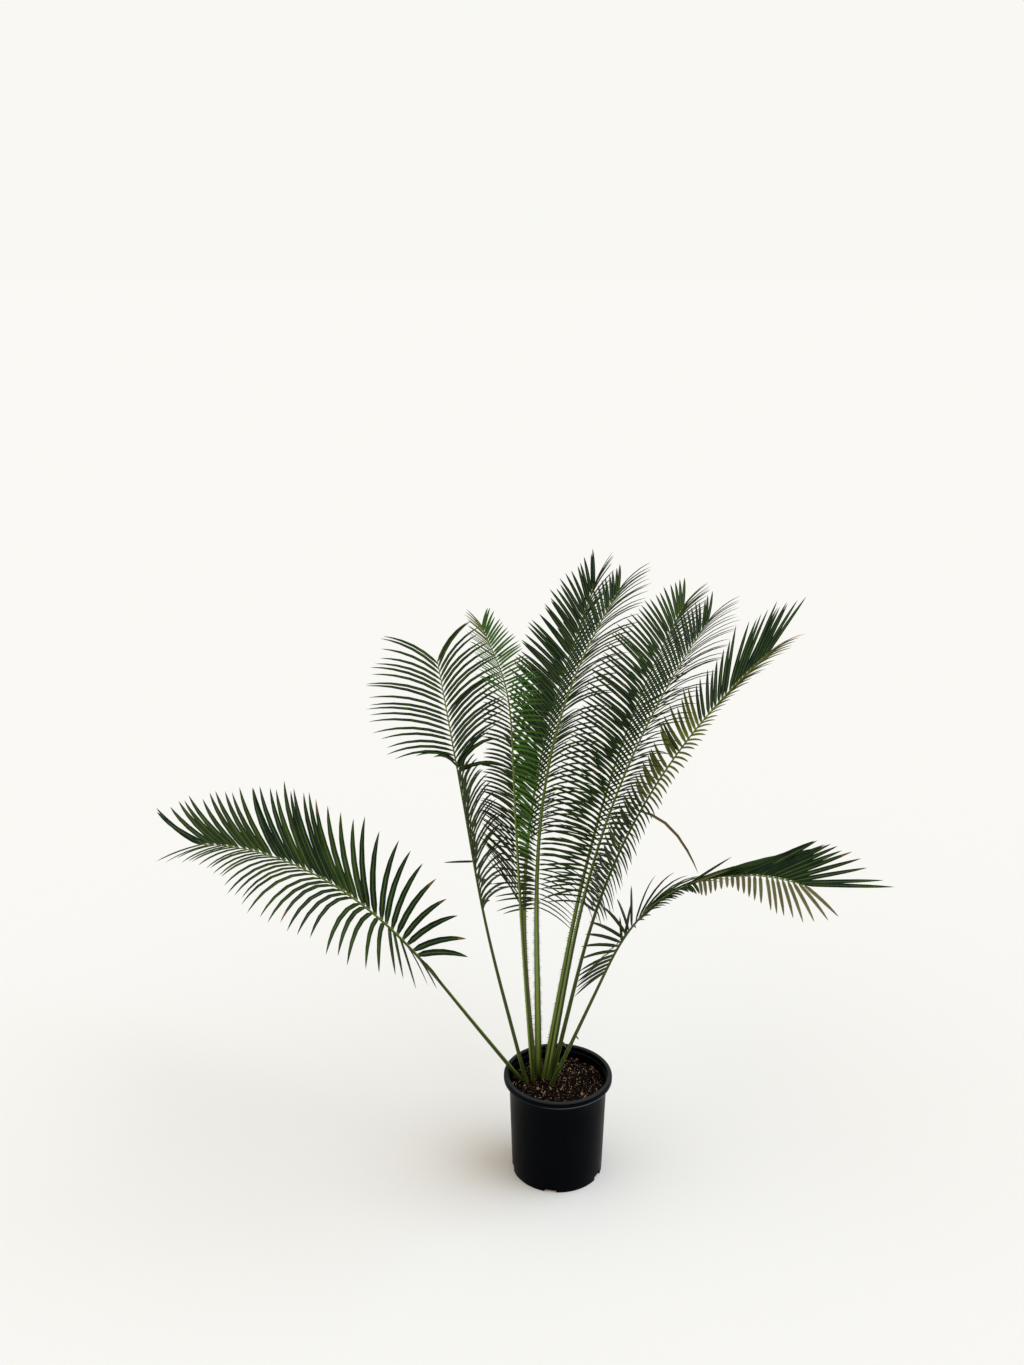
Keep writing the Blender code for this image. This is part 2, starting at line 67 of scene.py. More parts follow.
class Wire:
    # one output socket; arithmetic on it adds Math nodes
    def __init__(self, board, socket):
        self.board = board
        self.socket = socket

    def __add__(self, other):
        return self.board.maths("ADD", self, other)

    def __radd__(self, other):
        return self.board.maths("ADD", other, self)

    def __sub__(self, other):
        return self.board.maths("SUBTRACT", self, other)

    def __rsub__(self, other):
        return self.board.maths("SUBTRACT", other, self)

    def __mul__(self, other):
        return self.board.maths("MULTIPLY", self, other)

    def __rmul__(self, other):
        return self.board.maths("MULTIPLY", other, self)

    def __gt__(self, other):
        return self.board.maths("GREATER_THAN", self, other)

    def __lt__(self, other):
        return self.board.maths("LESS_THAN", self, other)


class Board:
    # adds nodes to one tree
    def __init__(self, tree):
        self.tree = tree

    def add(self, kind, settings=None, inputs=None, output=0):
        node = self.tree.nodes.new(kind)
        for name, value in (settings or {}).items():
            if name == "stops":
                self.setStops(node.color_ramp, value)
            else:
                setattr(node, name, value)
        for name, value in (inputs or {}).items():
            self.feed(node.inputs[name], value)
        return Wire(self, node.outputs[output])

    def feed(self, socket, value):
        if isinstance(value, Wire):
            self.tree.links.new(value.socket, socket)
        else:
            socket.default_value = value

    def setStops(self, ramp, stops):
        while len(ramp.elements) < len(stops):
            ramp.elements.new(1.0)
        for element, (place, level) in zip(ramp.elements, stops):
            element.position = place
            element.color = (level, level, level, 1.0)

    def maths(self, operation, *values):
        return self.add("ShaderNodeMath", {"operation": operation}, dict(enumerate(values)))


def paint(red, green, blue):
    # a screen colour of 0 to 255 as the linear colour that shaders take
    return tuple((value / 255) ** 2.2 for value in (red, green, blue)) + (1.0,)


class Look(Board):
    # one material and its patterns
    def __init__(self, name):
        self.material = bpy.data.materials.new(name)
        self.material.use_nodes = True
        super().__init__(self.material.node_tree)
        self.shader = self.tree.nodes["Principled BSDF"]
        self.place = self.add("ShaderNodeTexCoord", output="Object")

    def noise(self, lump, detail=3.0, stretch=(1, 1, 1)):
        # lump = metres from one blotch to the next
        place = self.add("ShaderNodeMapping", None, {"Vector": self.place, "Scale": stretch})
        sizes = {"Vector": place, "Scale": 1 / lump, "Detail": detail, "Roughness": 0.6}
        return self.add("ShaderNodeTexNoise", None, sizes)

    def axis(self, name):
        return self.add("ShaderNodeSeparateXYZ", None, {"Vector": self.place}, name)

    def stops(self, value, *stops):
        return self.add("ShaderNodeValToRGB", {"stops": stops}, {"Fac": value})

    def blend(self, share, first, second):
        return self.add("ShaderNodeMix", {"data_type": "RGBA"}, {0: share, 6: first, 7: second}, 2)

    def bump(self, height, distance, strength=1.0):
        sizes = {"Height": height, "Distance": distance, "Strength": strength}
        return self.add("ShaderNodeBump", None, sizes)

    def stored(self, name):
        return self.add("ShaderNodeAttribute", {"attribute_name": name}, output="Fac")

    def finish(self, **values):
        # shader sockets by name, with spaces left out
        for socket in self.shader.inputs:
            key = socket.name.replace(" ", "")
            if key in values:
                self.feed(socket, values.pop(key))
        if values:
            raise ValueError(f"no shader socket is called {sorted(values)}")
        return self.material


class Rule(Board):
    # a Geometry Nodes tree with named inputs
    def __init__(self, name, inputs):
        tree = bpy.data.node_groups.new(name, "GeometryNodeTree")
        super().__init__(tree)
        face = tree.interface
        face.new_socket("Geometry", in_out="OUTPUT", socket_type="NodeSocketGeometry")
        face.new_socket("Geometry", in_out="INPUT", socket_type="NodeSocketGeometry")
        self.identifiers = {}
        for label, kind in inputs.items():
            made = face.new_socket(label, in_out="INPUT", socket_type="NodeSocket" + kind)
            self.identifiers[label] = made.identifier
        self.entry = tree.nodes.new("NodeGroupInput")
        self.exit = tree.nodes.new("NodeGroupOutput")

    def given(self, label):
        return Wire(self, self.entry.outputs[label])

    def stored(self, name, kind="FLOAT"):
        return self.add("GeometryNodeInputNamedAttribute", {"data_type": kind}, {"Name": name})

    def curves(self, mesh):
        return self.add("GeometryNodeMeshToCurve", None, {"Mesh": mesh})

    def section(self, label):
        shape = self.add("GeometryNodeObjectInfo", None, {"Object": self.given(label)}, "Geometry")
        return self.curves(shape)

    def skin(self, lines, label, scale):
        # sweeps a section along lines whose points store up and width
        up = self.stored("up", "FLOAT_VECTOR")
        rails = self.add(
            "GeometryNodeSetCurveNormal", {"mode": "FREE"}, {"Curve": self.curves(lines), "Normal": up}
        )
        parts = {"Curve": rails, "Profile Curve": self.section(label), "Scale": scale, "Fill Caps": True}
        return self.add("GeometryNodeCurveToMesh", None, parts)

    def random(self, low, high, seed, kind="FLOAT"):
        # sockets of Random Value: vectors first, then floats
        first, out = (0, 0) if kind == "FLOAT_VECTOR" else (2, 1)
        parts = {first: low, first + 1: high, "Seed": seed}
        return self.add("FunctionNodeRandomValue", {"data_type": kind}, parts, out)

    def end(self, geometry, coats):
        # realizes everything and lays the coats on, each where its selection holds
        geometry = self.add("GeometryNodeRealizeInstances", None, {"Geometry": geometry})
        geometry = self.add("GeometryNodeSetShadeSmooth", None, {"Geometry": geometry})
        for label, chosen in coats:
            parts = {"Geometry": geometry, "Material": self.given(label)}
            if chosen is not None:
                parts["Selection"] = chosen
            geometry = self.add("GeometryNodeSetMaterial", None, parts)
        self.feed(self.exit.inputs[0], geometry)

    def grow(self, name, mesh, values):
        # the tree's result on this mesh, as a plain mesh object
        source = bpy.data.objects.new(name + "Source", mesh)
        bpy.context.scene.collection.objects.link(source)
        modifier = source.modifiers.new("rule", "NODES")
        modifier.node_group = self.tree
        for label, value in values.items():
            modifier[self.identifiers[label]] = value
        seen = source.evaluated_get(bpy.context.evaluated_depsgraph_get())
        grown = bpy.data.meshes.new_from_object(seen)
        bpy.data.objects.remove(source)
        return shown(name, grown)


def shown(name, mesh):
    made = bpy.data.objects.new(name, mesh)
    mesh.name = name
    bpy.context.scene.collection.objects.link(made)
    return made


def seated(piece, slot, *nodes):
    # a finished piece: it rides on the plant and may stand for CAD nodes
    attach(piece, "root")
    if nodes:
        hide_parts(*nodes)
    return piece


def tidied(piece, sharpAngle):
    # closes seams, turns faces outwards and keeps edges over this angle crisp
    shape = bmesh.new()
    shape.from_mesh(piece.data)
    bmesh.ops.remove_doubles(shape, verts=shape.verts, dist=0.00001)
    bmesh.ops.recalc_face_normals(shape, faces=shape.faces)
    shape.to_mesh(piece.data)
    shape.free()
    piece.data.shade_smooth()
    piece.data.set_sharp_from_angle(angle=math.radians(sharpAngle))
    return piece


def forgotten(piece, *names):
    # drops point values that only the rule needed
    for name in names:
        if name in piece.data.attributes:
            piece.data.attributes.remove(piece.data.attributes[name])


def lineMesh(name, lines, closed=False):
    # a mesh of poly lines; each point is (place, {name: number or vector})
    mesh = bpy.data.meshes.new(name)
    points = [point for line in lines for point in line]
    edges = []
    first = 0
    for line in lines:
        edges += [(first + number, first + number + 1) for number in range(len(line) - 1)]
        if closed:
            edges.append((first + len(line) - 1, first))
        first += len(line)
    mesh.from_pydata([tuple(place) for place, _ in points], edges, [])
    for key, sample in points[0][1].items():
        if isinstance(sample, Vector):
            stored = mesh.attributes.new(key, "FLOAT_VECTOR", "POINT")
            stored.data.foreach_set("vector", [axis for _, values in points for axis in values[key]])
        else:
            stored = mesh.attributes.new(key, "FLOAT", "POINT")
            stored.data.foreach_set("value", [values[key] for _, values in points])
    return mesh


def sectionObject(name, points):
    # a closed section to sweep; x is towards the upper face and y across
    made = shown(name, lineMesh(name, [points], closed=True))
    made.hide_render = True
    return made


def smooth(value):
    value = min(max(value, 0.0), 1.0)
    return value * value * (3 - 2 * value)


def between(pair, share):
    return pair[0] + (pair[1] - pair[0]) * share


leafLooks = {
    # the darker and the lighter screen colour of each leaf skin
    "deep": ((12, 30, 16), (27, 50, 29)),
    "mid": ((28, 44, 17), (47, 67, 29)),
    # bright and underBright are painted light: lit copies of the green for leaflets that the key light falls
    # on
    "bright": ((36, 68, 16), (66, 104, 32)),
    "olive": ((84, 90, 38), (122, 124, 60)),
    "midrib": ((56, 76, 28), (84, 104, 44)),
    "under": ((36, 46, 24), (58, 68, 38)),
    "underBright": ((40, 76, 18), (68, 108, 34)),
    "underTan": ((98, 92, 68), (134, 126, 100)),
    "tan": ((92, 86, 60), (128, 120, 90)),
    "dry": ((84, 64, 40), (124, 102, 70)),
    "base": ((84, 98, 42), (120, 126, 62)),
}


def leafMaterial(name):
    # waxy leaf skin with soft blotches and fine lengthwise grain
    dark, light = leafLooks[name]
    look = Look("leaf" + name.capitalize())
    blotch = look.noise(0.05)
    speck = look.noise(0.004, 2.0)
    share = look.stops(blotch * 0.7 + speck * 0.3, (0.35, 0.0), (0.65, 1.0))
    dull = name in ("dry", "under", "underTan")
    return look.finish(
        BaseColor=look.blend(share, paint(*dark), paint(*light)),
        Roughness=speck * 0.2 + (0.55 if dull else 0.34),
        SpecularIORLevel=0.08 if dull else 0.14,
        Normal=look.bump(speck, 0.0004, 0.5),
    )


stalkLook = {
    "edge": (48, 66, 22),
    "middle": (128, 150, 66),
    "foot": (60, 72, 30),
    "tip": (84, 100, 42),
    "brown": (82, 60, 34),
}


def stalkMaterial(name, brown):
    # green stalk with a pale stripe down its middle and darker edges
    look = Look(name)
    across = look.maths("ABSOLUTE", look.stored("across"))
    along = look.stored("along")
    stripe = look.stops(across, (0.25, 1.0), (0.8, 0.0))
    fibre = look.noise(0.003, 3.0, (1, 1, 0.08))
    blotch = look.noise(0.03)
    colour = look.blend(stripe * (0.6 + fibre * 0.5), paint(*stalkLook["edge"]), paint(*stalkLook["middle"]))
    colour = look.blend(look.stops(along, (0.3, 0.0), (0.75, 0.75)), colour, paint(*stalkLook["tip"]))
    foot = look.stops(along + blotch * 0.03, (0.015, 0.8), (0.05, 0.0))
    colour = look.blend(foot, colour, paint(*stalkLook["foot"]))
    if brown:
        tan = look.stops(along + blotch * 0.1, (0.25, 0.8), (0.45, 0.0))
        colour = look.blend(tan, colour, paint(*stalkLook["brown"]))
    return look.finish(
        BaseColor=colour,
        Roughness=0.35 + fibre * 0.2,
        SpecularIORLevel=0.25,
        Normal=look.bump(fibre, 0.0005, 0.4),
    )


def chipMaterial(name, dark, light, roughness=0.85):
    # dull and rough, in lumps between two colours
    look = Look(name)
    lump = look.noise(0.006, 3.0)
    grain = look.noise(0.0012, 3.0)
    share = look.stops(lump * 0.6 + grain * 0.4, (0.35, 0.0), (0.7, 1.0))
    return look.finish(
        BaseColor=look.blend(share, paint(*dark), paint(*light)),
        Roughness=grain * 0.2 + roughness - 0.1,
        SpecularIORLevel=0.06,
        Normal=look.bump(grain, 0.0006, 0.7),
    )


leafMaterials = {name: leafMaterial(name) for name in leafLooks}
stalkGreen = stalkMaterial("stalkGreen", False)
stalkBrown = stalkMaterial("stalkBrown", True)
prickleMaterial = chipMaterial("prickle", (58, 70, 32), (112, 116, 62), 0.55)
print("leaf and stalk materials made")

# The growth of a frond. Pairs of angles run from the foot to the tip, and pitch is the way
# along the rib from one pair of leaflets to the next. A profile is a tuple of values at even
# steps from the blade's base to its tip: roll turns the blade, and reach, rise, angle, droop and
# width have one profile for the left row and one for the right. Tones name the skins of each
# row's leaflets in the same way, and brown gives the stalk brown edges.
growth = {
    "soilLevel": 0.228, "footDepth": 0.012, "stalkTaper": 0.72, "ribTip": 0.0016, "steps": 240,
}
fronds = {
    "frondFarLeft": dict(
        nodes=("frond_far_left_lower", "frond_far_left_upper"),
        tones=("mid deep mid mid mid", "deep mid deep mid deep"),
        brown=False,
        foot=(-0.0905, 0.014), stalk=0.0085, length=0.985,
        azimuth=(180, 160), lean=(36, 111), bend=(0.24, 1.26),
        bladeFrom=0.378, leaf=0.235, curl=(20, 24), pitch=0.0172,
        roll=(0, -10, -20, -20, -20, -20, -20, -20, -20),
        reach=(
            (0.4, 0.62, 0.72, 0.8, 0.8, 0.68, 0.5, 0.42, 0.5),
            (0.56, 0.7, 0.84, 0.94, 0.94, 0.88, 0.8, 0.8, 0.82),
        ),
        rise=((35, 33, 32, 31, 30, 29, 28, 26, 25),) * 2,
        angle=((120, 100, 70, 50, 44, 42, 44, 46, 44), (130, 72, 38, 28, 31, 32, 30, 25, 18)),
        droop=((0.6, 0.9, 1.1, 1.2, 1.1, 0.9, 0.6, 0.35, 0.2), (0.15, 0.15)),
        width=((0.0118, 0.0106, 0.0086), (0.015, 0.013, 0.011)),
    ),
    "frondLeft": dict(
        nodes=("frond_left",),
        tones=("deep deep deep deep mid", "mid mid mid deep deep mid"),
        brown=False,
        foot=(-0.0738, 0.0032), stalk=0.0088, length=1.014,
        azimuth=(150, 165), lean=(16.3, 9.6), bend=(0.15, 0.59),
        bladeFrom=0.42, leaf=0.215, curl=(26, 30), pitch=0.0118,
        roll=(35, 35, 35, 35, 35, 35, 35, -60, -60, -60, -60, -60),
        reach=(
            (0.5, 0.6, 0.65, 0.65, 0.65, 0.6, 0.5, 0.7, 0.85, 0.88, 0.75, 0.6),
            (0.5, 0.6, 0.7, 0.7, 0.65, 0.55, 0.5, 0.72, 0.78, 0.75, 0.65, 0.55),
        ),
        rise=(
            (10, 8, 5, 5, 5, 5, 5, 10, 9, 7, 3, 0),
            (45, 45, 45, 45, 45, 42, 40, 12, 9, 7, 3, 0),
        ),
        angle=(
            (45, 35, 26, 22, 22, 24, 30, 56, 52, 48, 42, 30),
            (72, 60, 50, 45, 45, 45, 45, 38, 40, 42, 36, 26),
        ),
        droop=(
            (0.1, 0.1, 0.1, 0.1, 0.1, 0.1, 0.2, 0.35, 0.15, 0.15, 0.2, 0.2),
            (0.35, 0.35, 0.35, 0.35, 0.35, 0.35, 0.35, 0.25, 0.25, 0.25, 0.25, 0.25),
        ),
        width=((0.007, 0.006), (0.0068, 0.007, 0.006)),
    ),
    "frondCentreFront": dict(
        nodes=("frond_centre_front",),
        # the leaflets of this frond that face the key light take the painted sunlit tone
        tones=("mid bright bright bright bright bright bright", "mid mid mid bright olive"),
        brown=False,
        foot=(-0.0573, 0.0064), stalk=0.0085, length=1.225,
        azimuth=(216, 254), lean=(4.9, 45), bend=(0.68, 0.91),
        bladeFrom=0.37, leaf=0.155, curl=(5, 5), pitch=0.0108,
        roll=(0, 0),
        reach=(
            (0.35, 0.42, 0.5, 0.55, 0.6, 0.65, 0.65, 0.55, 0.5),
            (0.85, 0.88, 0.8, 0.68, 0.58, 0.5, 0.42, 0.4, 0.4),
        ),
        rise=((-10, -18, -25, -25, -20, -12, 0, 10, 15), (10, 12, 18, 20, 22, 22, 20, 15, 10)),
        angle=((52, 62, 78, 80, 70, 58, 46, 34, 14), (55, 60, 70, 78, 80, 72, 55, 36, 12)),
        droop=(
            (0.2, 0.3, 0.4, 0.4, 0.4, 0.3, 0.1, 0, 0),
            (0.1, 0.2, 0.4, 0.45, 0.4, 0.3, 0.2, 0.15, 0.1),
        ),
        width=((0.0064, 0.005), (0.0068, 0.0062, 0.005)),
    ),
    "frondCentreBack": dict(
        nodes=("frond_centre_back",),
        tones=("mid deep deep mid deep", "mid deep mid"),
        brown=True,
        foot=(-0.0525, 0.0475), stalk=0.0085, length=1.18,
        azimuth=(104, 40), lean=(25, 26), bend=(-0.5, 0.5),
        bladeFrom=0.45, leaf=0.185, curl=(4, 14), pitch=0.0112,
        roll=(0, 0),
        reach=(
            (0.3, 0.45, 0.6, 0.7, 0.8, 0.82, 0.75, 0.6, 0.48),
            (0.3, 0.4, 0.5, 0.6, 0.7, 0.75, 0.75, 0.65, 0.5),
        ),
        rise=((15, 15), (20, 20)),
        angle=((50, 52, 55, 58, 60, 60, 55, 48, 18), (50, 46, 42, 38, 36, 34, 30, 24, 10)),
        droop=((0.1, 0.1), (0.2, 0.2)),
        width=((0.0068, 0.0104, 0.0088), (0.0048, 0.006)),
    ),
    "frondCentre": dict(
        nodes=("frond_centre",),
        tones=("mid deep deep", "mid deep mid"),
        brown=False,
        foot=(-0.0445, 0.0325), stalk=0.012, length=1.214,
        azimuth=(84.5, 48.7), lean=(-8, 50), bend=(0.16, 1.09),
        bladeFrom=0.37, leaf=0.185, curl=(8, 22), pitch=0.0112,
        roll=(0, 0),
        reach=(
            (0.55, 0.7, 0.75, 0.7, 0.65, 0.62, 0.6, 0.5, 0.4),
            (0.5, 0.7, 0.8, 0.8, 0.8, 0.8, 0.75, 0.7, 0.5),
        ),
        rise=((-15, -15, -10, 0, 10, 15, 15), (20, 20)),
        angle=((105, 80, 66, 60, 55, 52, 48, 38, 16), (92, 76, 62, 56, 50, 46, 40, 30, 10)),
        droop=((0.25, 0.1), (0.35, 0.35)),
        width=((0.0044, 0.0068, 0.0072), (0.0034, 0.0056)),
    ),
    "frondRightBack": dict(
        nodes=("frond_right_back",),
        tones=("deep deep deep mid", "deep deep mid"),
        brown=False,
        foot=(-0.031, 0.0185), stalk=0.0098, length=1.193,
        azimuth=(55, 55), lean=(18, 62.5), bend=(0.11, 1.35),
        bladeFrom=0.37, leaf=0.185, curl=(4, 16), pitch=0.0112,
        roll=(0, 0),
        reach=(
            (0.55, 0.7, 0.75, 0.75, 0.78, 0.8, 0.78, 0.66, 0.5),
            (0.4, 0.55, 0.6, 0.65, 0.7, 0.75, 0.75, 0.65, 0.5),
        ),
        rise=((15, 15), (20, 20)),
        angle=((108, 86, 74, 68, 64, 62, 58, 48, 16), (92, 75, 60, 52, 46, 42, 36, 26, 10)),
        droop=((0.3, 0.1), (0.25, 0.25)),
        width=((0.0048, 0.008, 0.0082), (0.0038, 0.0058)),
    ),
    "frondRightMiddle": dict(
        nodes=("frond_right_middle",),
        tones=("mid deep deep", "mid mid deep"),
        brown=False,
        foot=(-0.0215, 0.012), stalk=0.0096, length=1.161,
        azimuth=(35, 45), lean=(11.4, 56.2), bend=(0.14, 1.2),
        bladeFrom=0.37, leaf=0.185, curl=(8, 24), pitch=0.0112,
        roll=(0, 0),
        reach=(
            (0.5, 0.55, 0.6, 0.6, 0.62, 0.66, 0.66, 0.58, 0.45),
            (0.45, 0.6, 0.68, 0.7, 0.74, 0.8, 0.8, 0.72, 0.5),
        ),
        rise=((20, 20),) * 2,
        angle=((100, 80, 66, 60, 56, 52, 46, 36, 16), (95, 76, 62, 56, 50, 44, 36, 26, 10)),
        droop=((0.25, 0.1), (0.35, 0.35)),
        width=((0.0042, 0.0066, 0.0068), (0.0038, 0.0044)),
    ),
    "frondRight": dict(
        nodes=("frond_right",),
        tones=("mid mid olive olive olive deep deep deep", "mid mid olive olive olive tan"),
        brown=False,
        foot=(-0.012, 0.0215), stalk=0.0098, length=1.14,
        azimuth=(0, 25), lean=(11.7, 63), bend=(0.17, 1.26),
        bladeFrom=0.375, leaf=0.185, curl=(-5, 12), pitch=0.0115,
        roll=(0, 0),
        reach=(
            (0.5, 0.55, 0.6, 0.62, 0.62, 0.62, 0.65, 0.68, 0.7, 0.6, 0.95, 0.95, 0.85),
            (0.4, 0.5, 0.5, 0.42, 0.36, 0.32, 0.28, 0.24, 0.2, 0.2, 0.4, 0.5, 0.5),
        ),
        rise=(
            (5, 2, 0, -2, -4, -5, -6, 0, 5, 8, 36, 38, 36),
            (5, 5, 5, 5, 5, 5, 5, 0, 0, 0, 0, 0, 0),
        ),
        angle=(
            (105, 98, 95, 90, 88, 86, 84, 78, 68, 48, 27, 23, 15),
            (78, 82, 84, 86, 86, 85, 80, 60, 40, 14, 6, 4, 2),
        ),
        droop=((-0.1, -0.1), (0.3, 0.4)),
        width=((0.0074, 0.0096, 0.0076), (0.0058, 0.0056)),
    ),
    "frondFarRight": dict(
        nodes=("frond_far_right_lower", "frond_far_right_upper"),
        tones=("deep deep deep mid deep deep", "deep deep deep tan tan tan"),
        brown=False,
        foot=(-0.0137, -0.0104), stalk=0.009, length=0.872,
        azimuth=(-12, -5), lean=(21.3, 110.5), bend=(0.35, 1.09),
        bladeFrom=0.365, leaf=0.205, curl=(0, 5), pitch=0.012,
        roll=(0, 0, 0, 0, 0, 0, 20, 35, 50, 60, 60),
        reach=(
            (0.6, 0.7, 0.75, 0.75, 0.8, 0.8, 0.78, 0.78, 0.78, 0.8, 0.95),
            (0.4, 0.5, 0.4, 0.3, 0.2, 0.15, 0.2, 0.12, 0.26, 0.42, 0.5),
        ),
        rise=((45, 40, 25, 8, 5, 5, 5, 5, 5, 5, 5), (45, 35, 20, 10, 0, 0, 0, 0, 0, 0, 0)),
        angle=(
            (150, 136, 100, 30, 4, 2, 10, 18, 30, 32, 12),
            (120, 100, 60, 20, 10, 40, 90, 90, 85, 65, 20),
        ),
        droop=(
            (0.3, 0.3, 0.3, 0.8, 0.9, 0.6, 0.3, 0.1, 0, 0, 0),
            (0.3, 0.3, 0.5, 0.5, 0.8, 0.5, 0.5, 0.5, 0.4, 0.2, 0.1),
        ),
        width=((0.0052, 0.0105, 0.014, 0.0088), (0.0048, 0.0074, 0.008)),
    ),
}


def alongBlade(profile, along):
    steps = len(profile) - 1
    passed = min(max(along, 0.0), 1.0) * steps
    number = min(int(passed), steps - 1)
    return between((profile[number], profile[number + 1]), passed - number)


class Rib:
    # centre line of a frond, by the share of its length that has been passed
    def __init__(self, frond):
        self.frond = frond
        self.points = [Vector((*frond["foot"], growth["soilLevel"]))]
        steps = growth["steps"]
        for number in range(steps):
            tangent = self.directions((number + 0.5) / steps)[0]
            self.points.append(self.points[-1] + tangent * (frond["length"] / steps))

    def along(self, share):
        # the share of the blade that a share of the rib stands for
        return (share - self.frond["bladeFrom"]) / (1 - self.frond["bladeFrom"])

    def directions(self, share):
        # along the rib, out of the blade's upper face, and to its side
        frond = self.frond
        start, end = frond["bend"]
        lean = math.radians(between(frond["lean"], smooth((share - start) / (end - start))))
        azimuth = math.radians(between(frond["azimuth"], smooth(share)))
        outward = Vector((math.cos(azimuth), math.sin(azimuth), 0))
        tangent = outward * math.sin(lean) + Vector((0, 0, math.cos(lean)))
        upper = Vector((0, 0, math.sin(lean))) - outward * math.cos(lean)
        side = tangent.cross(upper)
        roll = math.radians(alongBlade(frond["roll"], self.along(share)))
        rolled = upper * math.cos(roll) + side * math.sin(roll)
        return tangent, rolled, side * math.cos(roll) - upper * math.sin(roll)

    def place(self, share):
        if share <= 0:
            return self.points[0] + self.directions(0)[0] * (share * self.frond["length"])
        steps = growth["steps"]
        number = min(int(share * steps), steps - 1)
        return self.points[number].lerp(self.points[number + 1], share * steps - number)

    def width(self, share):
        stalk, bladeFrom = self.frond["stalk"], self.frond["bladeFrom"]
        if share < bladeFrom:
            return stalk * between((1, growth["stalkTaper"]), max(share, 0) / bladeFrom)
        return between((stalk * growth["stalkTaper"], growth["ribTip"]), self.along(share))


leaflets = {
    "stations": (0, 0.03, 0.12, 0.3, 0.5, 0.7, 0.84, 0.94, 1.0),
    "rootWidth": 0.5, "bladeFull": 0.14,  # share of the full width at the root, and where it is full
    "tipPower": 4.0, "tipRound": 0.9, "tipWidth": 0.02,
    "angleWobble": 1.3, "riseWobble": 2.0, "lengthWobble": 0.035, "sideWobble": 0.025,
    "longest": 1.06,  # most that the wobble lengthens a leaflet
    "rootSide": 0.35,  # how far out on the rib a leaflet starts, as a share of the rib's width
    "twist": 7.0, "rootTwist": 0.4,  # how far a blade turns about its length, and its share at the root
    "toneRun": 4,  # leaflets in a row that share a tone
    "toneWobble": 0.05,  # how far along the blade a tone may stray
    "dryTips": 0.07, "dryFrom": 0.93, "neverDry": 2.0,  # share of tips, and where they start
    "missing": 0.006,
}


def leafWidth(along):
    # share of the full width at this share of a leaflet's length
    root = leaflets["rootWidth"]
    opening = root + (1 - root) * smooth(along / leaflets["bladeFull"])
    closing = max(1 - along ** leaflets["tipPower"], 0.0) ** leaflets["tipRound"]
    return opening * closing + leaflets["tipWidth"]


def bladePoint(point, up, width, station, tone, dryFrom):
    values = {
        "up": up, "width": width * leafWidth(station), "tone": float(tone),
        "along": station, "dry": float(station >= dryFrom),
    }
    return point.copy(), values


def leafletLine(rib, share, sign, chance, tone):
    # points down one leaflet; sign picks the row that it stands in
    frond = rib.frond
    row = 0 if sign < 0 else 1
    along = rib.along(share)
    reach, rise, angle, droop = [
        alongBlade(frond[key][row], along) for key in ("reach", "rise", "angle", "droop")
    ]
    tangent, upper, side = rib.directions(share)
    rise = math.radians(rise + chance.gauss(0, leaflets["riseWobble"]))
    outward = side * (sign * math.cos(rise)) + upper * math.sin(rise)
    angle += chance.gauss(0, leaflets["angleWobble"])
    length = frond["leaf"] * reach * min(1 + chance.gauss(0, leaflets["lengthWobble"]), leaflets["longest"])
    sway = chance.gauss(0, leaflets["sideWobble"])
    twist = math.radians(chance.gauss(0, leaflets["twist"]))
    width = alongBlade(frond["width"][row], along)
    dryFrom = leaflets["dryFrom" if chance.random() < leaflets["dryTips"] else "neverDry"]
    point = rib.place(share) + side * (sign * rib.width(share) * leaflets["rootSide"])
    line = []
    passed = 0.0
    for station in leaflets["stations"]:
        middle = (passed + station) / 2
        turn = math.radians(angle + frond["curl"][row] * middle)
        heading = tangent * math.cos(turn) + outward * math.sin(turn)
        heading = heading + Vector((0, 0, -droop * middle)) + upper * (sway * middle)
        heading.normalize()
        point = point + heading * (length * (station - passed))
        forward = tangent * math.sin(turn) - outward * math.cos(turn)
        forward = (forward - heading * forward.dot(heading)).normalized()
        up = heading.cross(forward) * sign
        turned = twist * (leaflets["rootTwist"] + (1 - leaflets["rootTwist"]) * station)
        up = Matrix.Rotation(turned, 3, heading) @ up
        passed = station
        line.append(bladePoint(point, up, width, station, tone, dryFrom))
    return line


# Single leaflets that leave the rows: frond, share of the rib, first heading, length, droop,
# width and tone.
strays = [
    ("frondLeft", 0.535, (-1.0, -0.2, 0.1), 0.068, 0.1, 0.0055, "deep"),
    ("frondLeft", 0.755, (0.45, -0.2, 0.9), 0.14, 0.9, 0.01, "deep"),
    ("frondLeft", 0.745, (0.75, -0.3, 0.7), 0.128, 1.0, 0.0095, "deep"),
    ("frondRight", 0.6, (0.97, -0.1, -0.1), 0.205, 2.3, 0.0066, "dry"),
    ("frondFarRight", 0.47, (-0.1, -0.1, 1.0), 0.066, 0.0, 0.006, "deep"),
    ("frondFarRight", 0.485, (0.12, -0.1, 1.0), 0.086, 0.0, 0.0062, "deep"),
    ("frondFarRight", 0.54, (0.68, -0.1, 0.75), 0.082, 0.0, 0.0055, "deep"),
    ("frondFarRight", 0.7, (0.76, -0.1, 0.66), 0.12, 0.1, 0.0062, "deep"),
    ("frondFarRight", 0.705, (0.86, -0.2, 0.52), 0.1, 0.1, 0.0055, "tan"),
    ("frondFarRight", 0.16, (0.5, -0.6, 0.6), 0.016, 1.5, 0.005, "dry"),
    ("frondRight", 0.08, (0.7, -0.6, 0.3), 0.022, 2.0, 0.006, "dry"),
]


